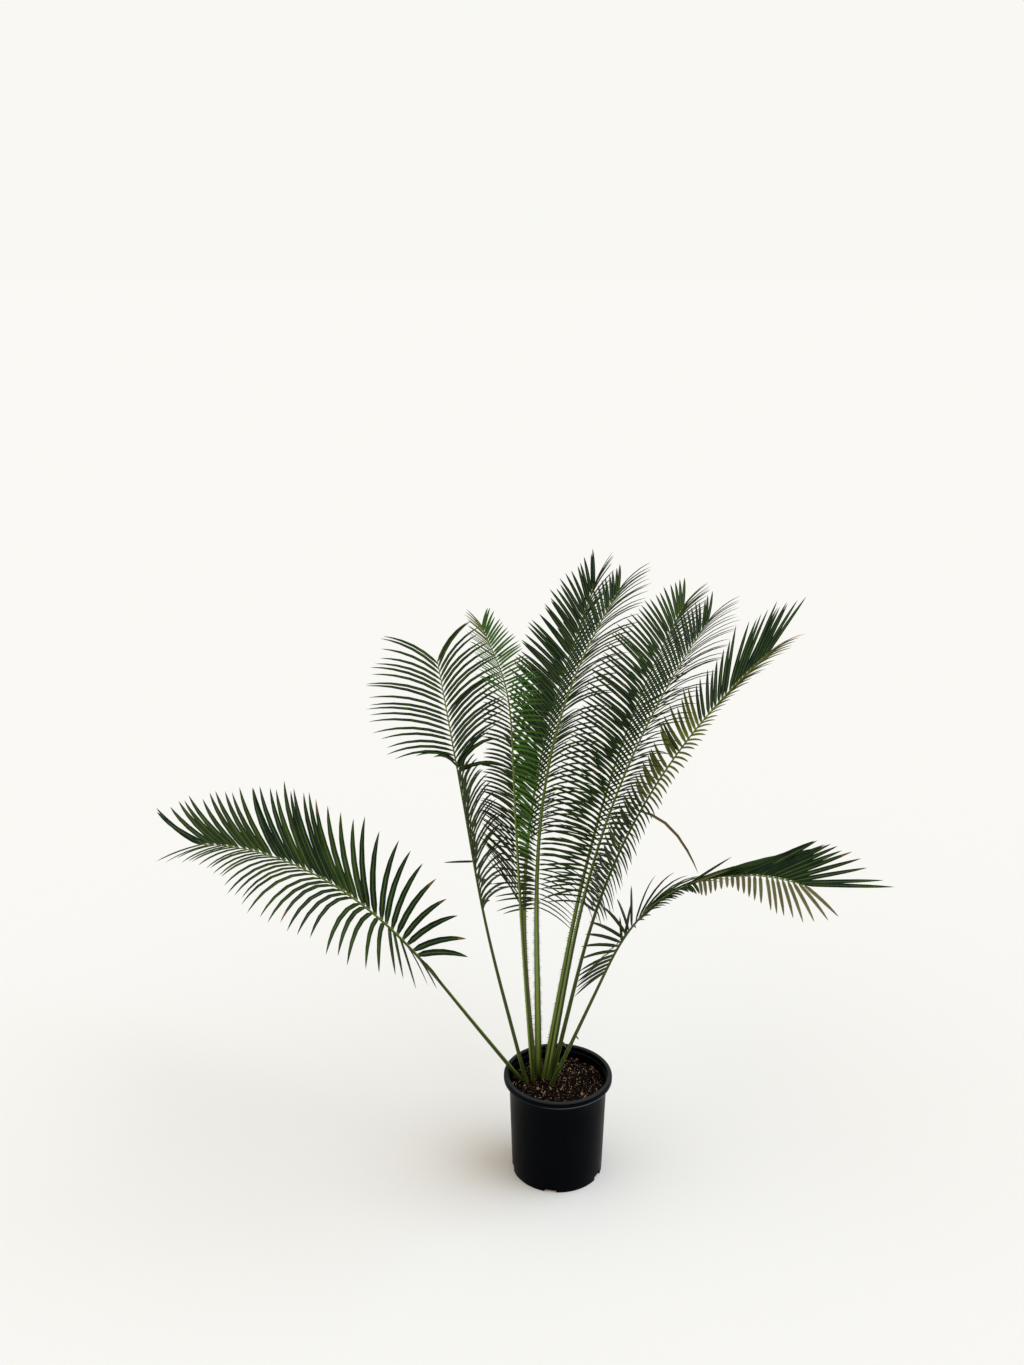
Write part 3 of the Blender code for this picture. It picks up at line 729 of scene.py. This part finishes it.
def strayLine(rib, share, heading, length, droop, width, tone):
    point = rib.place(share)
    line = []
    passed = 0.0
    for station in leaflets["stations"]:
        middle = (passed + station) / 2
        bent = (Vector(heading) - Vector((0, 0, droop * middle))).normalized()
        point = point + bent * (length * (station - passed))
        up = bent.cross(Vector((0, -1, 0))).cross(bent).normalized()
        passed = station
        line.append(bladePoint(point, up, width, station, toneNames.index(tone), leaflets["neverDry"]))
    return line


# bright is a painted lit copy of the green, not a colour of its own
toneNames = ("deep", "mid", "bright", "olive", "tan", "dry")
toneUnders = ("under", "under", "underBright", "olive", "underTan", "dry")  # of each tone's lower face


def toneHere(words, along, chance):
    # tones run evenly from the blade's base to its tip
    words = words.split()
    place = along + chance.gauss(0, leaflets["toneWobble"])
    return toneNames.index(words[min(max(int(place * len(words)), 0), len(words) - 1)])


def leafletLines(name, rib, seed):
    frond = rib.frond
    chance = random.Random(seed)
    bladeFrom = frond["bladeFrom"]
    pairs = round(frond["length"] * (1 - bladeFrom) / frond["pitch"])
    lines = []
    tone = [0, 0]
    for number in range(pairs):
        for sign in (-1, 1):
            row = 0 if sign < 0 else 1
            if number == 0 or chance.random() < 1 / leaflets["toneRun"]:
                tone[row] = toneHere(frond["tones"][row], number / pairs, chance)
            if chance.random() < leaflets["missing"]:
                continue
            offset = 0.5 + 0.25 * sign + chance.uniform(-0.12, 0.12)
            share = bladeFrom + (1 - bladeFrom) * (number + offset) / pairs
            lines.append(leafletLine(rib, share, sign, chance, tone[row]))
    return lines + [strayLine(rib, *stray[1:]) for stray in strays if stray[0] == name]


def leafSection():
    # channelled blade with a narrow midrib; strip tells the faces apart
    points = []
    for up, across, strip in (
        (0.13, -0.5, 0), (0.02, -0.09, 1), (0.02, 0.09, 1), (0.13, 0.5, 0), (-0.07, 0, -2)
    ):
        points.append((Vector((up, across, 0)), {"strip": float(strip)}))
    return sectionObject("leafSection", points)


def leafletTree():
    labels = {"Section": "Object", "Fullness": "Float", "Midrib": "Material", "Base": "Material"}
    for name in toneNames:
        labels.update({name + "Upper": "Material", name + "Lower": "Material"})
    rule = Rule("leafletRule", labels)
    scale = rule.stored("width") * rule.given("Fullness")
    blades = rule.skin(rule.given("Geometry"), "Section", scale)
    tone, strip = rule.stored("tone"), rule.stored("strip")
    upper = strip > 0.1
    coats = []
    for number, name in enumerate(toneNames):
        ofTone = rule.maths("COMPARE", tone, number, 0.3)
        coats += [(name + "Lower", ofTone), (name + "Upper", upper * ofTone)]
    coats.append(("Midrib", strip > 0.75))
    coats.append(("Base", rule.stored("along") < 0.03))
    coats.append(("dryUpper", rule.stored("dry") > 0.4))
    rule.end(blades, coats)
    return rule


ribs = {name: Rib(frond) for name, frond in fronds.items()}
leafletRule = leafletTree()
leafSectionObject = leafSection()
leafletValues = {name + "Upper": leafMaterials[name] for name in toneNames}
leafletValues.update({
    name + "Lower": leafMaterials[under] for name, under in zip(toneNames, toneUnders)
})
leafletValues.update({
    "Section": leafSectionObject, "Fullness": 1.0, "Base": leafMaterials["base"],
    "Midrib": leafMaterials["midrib"],
})
leafletCount = 0
for seed, (name, rib) in enumerate(ribs.items()):
    lines = leafletLines(name, rib, seed + 1)
    leafletCount += len(lines)
    blades = leafletRule.grow(name + "Leaflets", lineMesh(name, lines), leafletValues)
    tidied(blades, 40)
    forgotten(blades, "up", "width", "tone", "along", "dry", "strip")
    seated(blades, "frond_green", *rib.frond["nodes"])
print("leaflets grown:", leafletCount)

stalks = {
    "rings": 150, "height": 0.9, "grooveDepth": 0.17, "grooveWidth": 24.0, "sectionPoints": 18,
    "footSwell": 0.18, "footSwellShare": 0.02, "fuller": 0.3,
}


def stalkSection():
    # nearly round, with a groove down the upper face
    points = []
    count = stalks["sectionPoints"]
    for number in range(count):
        turn = 360 * number / count
        groove = stalks["grooveDepth"] * math.exp(-((turn - 90) / stalks["grooveWidth"]) ** 2)
        up = math.sin(math.radians(turn)) * stalks["height"] / 2 - groove
        across = math.cos(math.radians(turn)) / 2
        points.append((Vector((up, across, 0)), {"across": across * 2}))
    return sectionObject("stalkSection", points)


def stalkWidth(rib, share):
    # the bare stalk is fuller than the rib between the leaflets
    swell = stalks["footSwell"] * (1 - smooth(share / stalks["footSwellShare"]))
    swell += stalks["fuller"] * (1 - smooth(rib.along(share) + 0.5))
    return rib.width(share) * (1 + swell)


def stalkLine(rib):
    first = -growth["footDepth"] / rib.frond["length"]
    line = []
    for number in range(stalks["rings"] + 1):
        share = between((first, 1.0), number / stalks["rings"])
        upper = rib.directions(max(share, 0.0))[1]
        values = {"up": upper, "width": stalkWidth(rib, share), "along": max(share, 0.0)}
        line.append((rib.place(share), values))
    return line


def stalkTree():
    rule = Rule("stalkRule", {"Section": "Object", "Skin": "Material"})
    rule.end(rule.skin(rule.given("Geometry"), "Section", rule.stored("width")), [("Skin", None)])
    return rule


stalkRule = stalkTree()
stalkSectionObject = stalkSection()
for name, rib in ribs.items():
    skin = stalkBrown if rib.frond["brown"] else stalkGreen
    values = {"Section": stalkSectionObject, "Skin": skin}
    stalk = stalkRule.grow(name + "Rib", lineMesh(name, [stalkLine(rib)]), values)
    tidied(stalk, 60)
    forgotten(stalk, "up", "width")
    seated(stalk, "frond_green", *rib.frond["nodes"])
print("ribs grown:", len(ribs))

prickles = {
    "spacing": 0.0062, "length": 0.005, "thickness": 0.0028, "from": 0.05, "seed": 4,
    "lean": 0.35,  # how far a prickle points back towards the foot
}


def prickleLines(rib):
    # the two edges of a bare stalk, with the way each prickle points
    frond = rib.frond
    lines = []
    for sign in (-1, 1):
        line = []
        for number in range(31):
            share = between((prickles["from"], frond["bladeFrom"] + 0.02), number / 30)
            tangent, upper, side = rib.directions(share)
            edge = rib.place(share) + side * (sign * stalkWidth(rib, share) * 0.46)
            point = side * sign + upper * 0.25 - tangent * prickles["lean"]
            line.append((edge, {"point": point.normalized()}))
        lines.append(line)
    return lines


def prickleTree():
    labels = {"Spacing": "Float", "Length": "Float", "Thickness": "Float", "Seed": "Int", "Skin": "Material"}
    rule = Rule("prickleRule", labels)
    edges = rule.curves(rule.given("Geometry"))
    spots = rule.add(
        "GeometryNodeResampleCurve", {"mode": "LENGTH"}, {"Curve": edges, "Length": rule.given("Spacing")}
    )
    cone = rule.add("GeometryNodeMeshCone", None, {
        "Vertices": 6, "Side Segments": 1, "Radius Top": 0.0001,
        "Radius Bottom": rule.given("Thickness") * 0.5, "Depth": rule.given("Length"),
    })
    point = rule.stored("point", "FLOAT_VECTOR")
    turn = rule.add("FunctionNodeAlignRotationToVector", None, {"Vector": point})
    size = rule.random(0.55, 1.15, rule.given("Seed"))
    teeth = rule.add(
        "GeometryNodeInstanceOnPoints", None,
        {"Points": spots, "Instance": cone, "Rotation": turn, "Scale": size},
    )
    rule.end(teeth, [("Skin", None)])
    return rule


edgeLines = [line for rib in ribs.values() for line in prickleLines(rib)]
prickleValues = {
    "Spacing": prickles["spacing"], "Length": prickles["length"], "Thickness": prickles["thickness"],
    "Seed": prickles["seed"], "Skin": prickleMaterial,
}
teeth = prickleTree().grow("stalkPrickles", lineMesh("prickleEdges", edgeLines), prickleValues)
tidied(teeth, 35)
forgotten(teeth, "point")
seated(teeth, "frond_green")
print("prickles grown:", len(teeth.data.polygons), "faces")

pot = {
    "height": potHigh[2], "baseRadius": 0.105, "neckRadius": 0.1125, "wall": 0.0022, "floor": 0.003,
    "rimRadius": potHigh[0], "mouthRadius": 0.1135, "rimDepth": 0.014, "rimRound": 0.0035,
    "notches": 5, "notchFirst": 260.0, "notchWidth": 0.028, "notchHeight": 0.013,
    "notchDepth": 0.012, "notchRound": 0.004, "segments": 192,
    # roundings of the floor inside, the rim's lower edge and the foot, and the step under the rim
    "floorRound": 0.003, "rimEdge": 0.0012, "footRound": 0.0015, "step": 0.003, "shoulder": 0.004,
}


potFinish = {
    "plastic": (4, 8, 13), "scuffed": (18, 19, 21), "scuffing": 0.4,
    # the rim's flat top, painted a lighter grey as a painted highlight where it faces up to the light: how
    # far down it reaches, and how strong the painted highlight is
    "rimTop": (58, 60, 62), "rimTopDepth": 0.004, "rimTopWear": 0.7,
    # the painted highlight line round the rim's lower lip: its height above the rim's underside, and its
    # spread
    "lip": (84, 94, 110), "lipHeight": 0.0012, "lipSpread": 0.0025, "lipTurn": 5.5,
}


def potMaterial():
    # moulded black plastic: satin, with faint scuffs and a fine grain, and painted highlights on the rim's
    # top and along its lower lip
    look = Look("potPlastic")
    haze = look.noise(0.05, 4.0, (1, 1, 0.35))
    scuff = look.noise(0.006, 5.0, (1, 1, 0.2))
    grain = look.noise(0.0012, 1.0)
    worn = look.stops(haze * 0.6 + scuff * 0.4, (0.5, 0.0), (0.75, 1.0))
    plastic, scuffed = paint(*potFinish["plastic"]), paint(*potFinish["scuffed"])
    colour = look.blend(worn * potFinish["scuffing"], plastic, scuffed)
    height, depth = look.axis("Z"), potFinish["rimTopDepth"]
    # painted highlight: the rim's flat top is blended towards a lighter grey, as if lit from above
    top = look.stops((height - (pot["height"] - depth)) * (1 / depth), (0.3, 0.0), (0.9, 1.0))
    colour = look.blend(top * potFinish["rimTopWear"], colour, paint(*potFinish["rimTop"]))
    # the painted highlight line is clearest at the front right, on the side where the key light falls
    lip = pot["height"] - pot["rimDepth"] + potFinish["lipHeight"]
    line = look.maths("ABSOLUTE", height - lip) * (1 / potFinish["lipSpread"])
    line = look.stops(line, (0.2, 1.0), (0.8, 0.0))
    front = (look.axis("X") - look.axis("Y")) * potFinish["lipTurn"]
    front = look.stops(front, (0.35, 0.15), (0.9, 1.0))
    colour = look.blend(line * front, colour, paint(*potFinish["lip"]))
    return look.finish(
        BaseColor=colour,
        Roughness=0.34 + worn * 0.14 + grain * 0.06,
        SpecularIORLevel=0.03,
        Normal=look.bump(grain, 0.0002, 0.3),
    )


def arc(middle, radius, first, last, steps):
    # points round part of a circle, by angles from outwards towards up
    points = []
    for number in range(steps + 1):
        turn = math.radians(between((first, last), number / steps))
        points.append((middle[0] + radius * math.cos(turn), middle[1] + radius * math.sin(turn)))
    return points


def potProfile():
    # from the middle of the floor inside, over the rim, to the middle underneath
    top, under = pot["height"], pot["height"] - pot["rimDepth"]
    inside = pot["neckRadius"] - pot["wall"]
    lip = pot["rimRound"]
    taper = (pot["neckRadius"] - pot["baseRadius"]) / under
    fillet, edge, step = pot["floorRound"], pot["rimEdge"], pot["step"]
    corner = pot["baseRadius"] - pot["wall"] - fillet
    profile = [(0, pot["floor"]), (corner - 0.001, pot["floor"])]
    profile += arc((corner, pot["floor"] + fillet), fillet, -70, 0, 4)
    profile += [(inside, under - 0.002), (pot["mouthRadius"], under + pot["shoulder"])]
    profile += arc((pot["mouthRadius"] + lip, top - lip), lip, 180, 90, 6)
    profile += arc((pot["rimRadius"] - lip * 1.6, top - lip * 1.6), lip * 1.6, 90, 0, 8)
    profile += arc((pot["rimRadius"] - edge, under + edge), edge, 0, -90, 4)
    profile += [(pot["rimRadius"] - 0.004, under), (pot["rimRadius"] - 0.006, under + step)]
    profile += [(pot["neckRadius"] + 0.001, under + step), (pot["neckRadius"], under)]
    for number in range(1, 5):
        height = under * (1 - number / 5)
        profile.append((pot["baseRadius"] + taper * height, height))
    foot = pot["footRound"]
    profile += arc((pot["baseRadius"] - foot, foot), foot, 0, -90, 4)
    profile += [(pot["baseRadius"] - 0.006, 0.0), (pot["baseRadius"] - 0.012, 0.0012), (0, 0.0012)]
    return profile


def spun(name, profile, segments):
    mesh = bpy.data.meshes.new(name)
    shape = bmesh.new()
    points = [shape.verts.new((radius, 0, height)) for radius, height in profile]
    edges = [shape.edges.new(pair) for pair in zip(points, points[1:])]
    bmesh.ops.spin(
        shape, geom=points + edges, cent=(0, 0, 0), axis=(0, 0, 1), angle=math.tau, steps=segments,
        use_merge=True,
    )
    bmesh.ops.remove_doubles(shape, verts=shape.verts, dist=0.00001)
    bmesh.ops.recalc_face_normals(shape, faces=shape.faces)
    shape.to_mesh(mesh)
    shape.free()
    return mesh


def notchBlocks():
    # one mesh of round-cornered blocks where the drainage notches are
    half, high, corner = pot["notchWidth"] / 2, pot["notchHeight"], pot["notchRound"]
    outline = [(-half, -high), (half, -high)]
    outline += arc((half - corner, high - corner), corner, 0, 90, 5)
    outline += arc((-half + corner, high - corner), corner, 90, 180, 5)
    shape = bmesh.new()
    for number in range(pot["notches"]):
        turn = Matrix.Rotation(math.radians(pot["notchFirst"] + number * 360 / pot["notches"]), 3, "Z")
        ends = []
        for depth in (pot["baseRadius"] - pot["notchDepth"], pot["baseRadius"] + pot["notchDepth"]):
            ends.append([shape.verts.new(turn @ Vector((depth, across, up))) for across, up in outline])
        shape.faces.new(ends[0])
        shape.faces.new(ends[1])
        for here in range(len(outline)):
            after = (here + 1) % len(outline)
            shape.faces.new((ends[0][here], ends[0][after], ends[1][after], ends[1][here]))
    bmesh.ops.recalc_face_normals(shape, faces=shape.faces)
    mesh = bpy.data.meshes.new("notches")
    shape.to_mesh(mesh)
    shape.free()
    return mesh


def makePot():
    body = shown("nurseryPot", spun("nurseryPot", potProfile(), pot["segments"]))
    cutter = shown("notches", notchBlocks())
    notch = body.modifiers.new("notches", "BOOLEAN")
    notch.operation = "DIFFERENCE"
    notch.solver = "EXACT"
    notch.object = cutter
    seen = body.evaluated_get(bpy.context.evaluated_depsgraph_get())
    mesh = bpy.data.meshes.new_from_object(seen)
    body.modifiers.clear()
    body.data = mesh
    mesh.materials.clear()
    mesh.materials.append(potMaterial())
    bpy.data.objects.remove(cutter)
    tidied(body, 32)
    return seated(body, "pot_plastic", "pot")


makePot()
print("pot made")

compost = {
    "level": growth["soilLevel"], "mound": 0.004, "radius": soilHigh[0] - 0.0004, "rings": 44,
    "spokes": 132, "roughness": 0.0032, "lump": 0.012, "sink": 0.003, "footTaper": 0.93,
}


def compostHeight(place):
    # lumpy surface that mounds a little round the stalks
    radius = place.xy.length / compost["radius"]
    level = compost["level"] - compost["mound"] * smooth(radius)
    coarse = noise.noise(Vector((place.x, place.y, 0)) / compost["lump"])
    fine = noise.noise(Vector((place.x, place.y, 0.3)) / (compost["lump"] * 0.35))
    return level + (coarse * 0.6 + fine * 0.4) * compost["roughness"] - compost["sink"]


def makeCompost():
    shape = bmesh.new()
    top = []
    for ring in range(1, compost["rings"] + 1):
        radius = compost["radius"] * ring / compost["rings"]
        row = []
        for spoke in range(compost["spokes"]):
            turn = math.tau * spoke / compost["spokes"]
            place = Vector((radius * math.cos(turn), radius * math.sin(turn), 0))
            place.z = compostHeight(place)
            row.append(shape.verts.new(place))
        top.append(row)
    middle = shape.verts.new((0, 0, compostHeight(Vector((0, 0, 0)))))
    taper = compost["footTaper"]
    foot = [shape.verts.new((v.co.x * taper, v.co.y * taper, soilLow[2])) for v in top[-1]]
    count = compost["spokes"]
    for here in range(count):
        after = (here + 1) % count
        shape.faces.new((middle, top[0][here], top[0][after]))
        for inner, outer in zip(top, top[1:]):
            shape.faces.new((inner[here], outer[here], outer[after], inner[after]))
        shape.faces.new((top[-1][here], foot[here], foot[after], top[-1][after]))
    shape.faces.new(foot)
    mesh = bpy.data.meshes.new("compost")
    shape.to_mesh(mesh)
    shape.free()
    made = shown("compost", mesh)
    mesh.materials.append(chipMaterial("compostDark", (7, 5, 4), (26, 18, 13)))
    tidied(made, 80)
    return seated(made, "compost", "soil")


compostPiece = makeCompost()

chips = {
    # kind: (number per square metre, (least, most) scale, dark, light)
    "barkDark": (20000, (0.003, 0.0064), (14, 10, 8), (36, 26, 20)),
    "barkRusset": (14000, (0.0028, 0.006), (62, 43, 31), (108, 80, 60)),
    "barkTan": (9000, (0.0022, 0.0052), (132, 106, 82), (184, 156, 130)),
    "grit": (1500, (0.002, 0.0036), (200, 190, 174), (236, 228, 216)),
    "barkFlake": (900, (0.006, 0.0105), (110, 84, 64), (162, 132, 106)),
}

crumb = {
    "shapes": 7, "firstSeed": 20, "flatness": (0.38, 0.28, 0.2), "corners": 13,
    "turns": (6.3, 6.3, 6.3), "sharpAngle": 25, "edgeGap": 0.003,
}


def chipShape(seed, flat):
    # an angular crumb about one unit across
    chance = random.Random(seed)
    shape = bmesh.new()
    for _ in range(crumb["corners"]):
        place = Vector((chance.gauss(0, 1), chance.gauss(0, 1), chance.gauss(0, 1))).normalized()
        shape.verts.new((place.x * chance.uniform(0.4, 0.62), place.y * 0.4, place.z * flat))
    hull = bmesh.ops.convex_hull(shape, input=shape.verts)
    loose = [item for item in hull["geom_interior"] if isinstance(item, bmesh.types.BMVert)]
    bmesh.ops.delete(shape, geom=loose, context="VERTS")
    bmesh.ops.recalc_face_normals(shape, faces=shape.faces)
    mesh = bpy.data.meshes.new("chip")
    shape.to_mesh(mesh)
    shape.free()
    return mesh


def chipTree():
    labels = {
        "Chips": "Collection", "Density": "Float", "Smallest": "Float", "Largest": "Float",
        "Seed": "Int", "Skin": "Material",
    }
    rule = Rule("chipRule", labels)
    spots = rule.add("GeometryNodeDistributePointsOnFaces", None, {
        "Mesh": rule.given("Geometry"), "Density": rule.given("Density"), "Seed": rule.given("Seed"),
    })
    crumbs = rule.add(
        "GeometryNodeCollectionInfo", None,
        {"Collection": rule.given("Chips"), "Separate Children": True, "Reset Children": True},
    )
    seed = rule.given("Seed")
    turn = rule.random((0, 0, 0), crumb["turns"], seed + 1, "FLOAT_VECTOR")
    spread = rule.add("GeometryNodeInstanceOnPoints", None, {
        "Points": spots, "Instance": crumbs, "Pick Instance": True, "Rotation": turn,
        "Scale": rule.random(rule.given("Smallest"), rule.given("Largest"), seed + 2),
    })
    rule.end(spread, [("Skin", None)])
    return rule


def chipGround():
    # the compost's open surface, where crumbs lie
    mesh = compostPiece.data.copy()
    shape = bmesh.new()
    shape.from_mesh(mesh)
    limit = compost["radius"] - crumb["edgeGap"]
    buried = [
        face for face in shape.faces
        if face.normal.z < 0.2 or face.calc_center_median().xy.length > limit
    ]
    bmesh.ops.delete(shape, geom=buried, context="FACES")
    shape.to_mesh(mesh)
    shape.free()
    return mesh


def scatterChips():
    crumbs = bpy.data.collections.new("crumbs")
    bpy.context.scene.collection.children.link(crumbs)
    for number in range(crumb["shapes"]):
        flat = crumb["flatness"][number % len(crumb["flatness"])]
        model = bpy.data.objects.new(f"crumb{number}", chipShape(number + crumb["firstSeed"], flat))
        crumbs.objects.link(model)
    rule = chipTree()
    total = 0
    for seed, (name, (density, sizes, dark, light)) in enumerate(chips.items()):
        values = {
            "Chips": crumbs, "Density": float(density), "Smallest": sizes[0], "Largest": sizes[1],
            "Seed": 10 + seed * 5, "Skin": chipMaterial(name, dark, light),
        }
        piece = rule.grow(name, chipGround(), values)
        piece.data.set_sharp_from_angle(angle=math.radians(crumb["sharpAngle"]))
        total += len(piece.data.polygons)
        seated(piece, "compost")
    for model in list(crumbs.objects):
        bpy.data.objects.remove(model)
    bpy.data.collections.remove(crumbs)
    return total


print("compost and bark made,", scatterChips(), "crumb faces")

for helper in (leafSectionObject, stalkSectionObject):
    bpy.data.objects.remove(helper)

studio = {
    "paper": (249, 248, 243),  # screen colour of the lit floor, and of what shows beyond it
    "albedo": (0.87, 0.86, 0.82), "halfWidth": 60.0,
    "air": (0.603, (1.12, 0.99, 0.82)),
    # name: where the light comes from, its strength, how wide it looks in degrees, its colour
    "keyLight": ((1.0, -0.05, 1.4), 1.48, 56, (0.9, 1.07, 1.3)),
    "fillLight": ((-1.0, -0.1, 1.4), 0.345, 50, (0.9, 1.07, 1.3)),
}


def makeFloor():
    half = studio["halfWidth"]
    mesh = bpy.data.meshes.new("studioFloor")
    corners = [(-half, -half, 0), (half, -half, 0), (half, half, 0), (-half, half, 0)]
    mesh.from_pydata(corners, [], [(0, 1, 2, 3)])
    look = Look("studioPaper")
    look.finish(BaseColor=(*studio["albedo"], 1.0), Roughness=1.0, SpecularIORLevel=0.0)
    mesh.materials.append(look.material)
    shown("studioFloor", mesh)


def softLight(name):
    place, strength, spread, colour = studio[name]
    data = bpy.data.lights.new(name, "SUN")
    data.energy = strength
    data.angle = math.radians(spread)
    data.color = colour
    light = bpy.data.objects.new(name, data)
    light.rotation_euler = (-Vector(place)).to_track_quat("-Z", "Y").to_euler()
    bpy.context.scene.collection.objects.link(light)


def makeAir():
    # even light from all round; straight behind the plant it shows as more of the paper
    world = bpy.data.worlds.new("studioAir")
    world.use_nodes = True
    air = Board(world.node_tree)
    strength, colour = studio["air"]
    light = air.add("ShaderNodeBackground", None, {"Color": (*colour, 1.0), "Strength": strength})
    paper = air.add("ShaderNodeBackground", None, {"Color": paint(*studio["paper"])})
    seen = air.add("ShaderNodeLightPath", output="Is Camera Ray")
    both = air.add("ShaderNodeMixShader", None, {0: seen, 1: light, 2: paper})
    air.feed(world.node_tree.nodes["World Output"].inputs["Surface"], both)
    bpy.context.scene.world = world


makeFloor()
softLight("keyLight")
softLight("fillLight")
makeAir()

view = {"place": (-0.106, -2.8, 2.1), "tilt": 72.1, "lens": 36.92, "sensor": 36.0}
cameraData = bpy.data.cameras.new("camera")
cameraData.lens = view["lens"]
cameraData.sensor_width = view["sensor"]
camera = bpy.data.objects.new("camera", cameraData)
camera.location = view["place"]
camera.rotation_euler = (math.radians(view["tilt"]), 0, 0)
bpy.context.scene.collection.objects.link(camera)
bpy.context.scene.camera = camera
print("stage, lights and camera set")
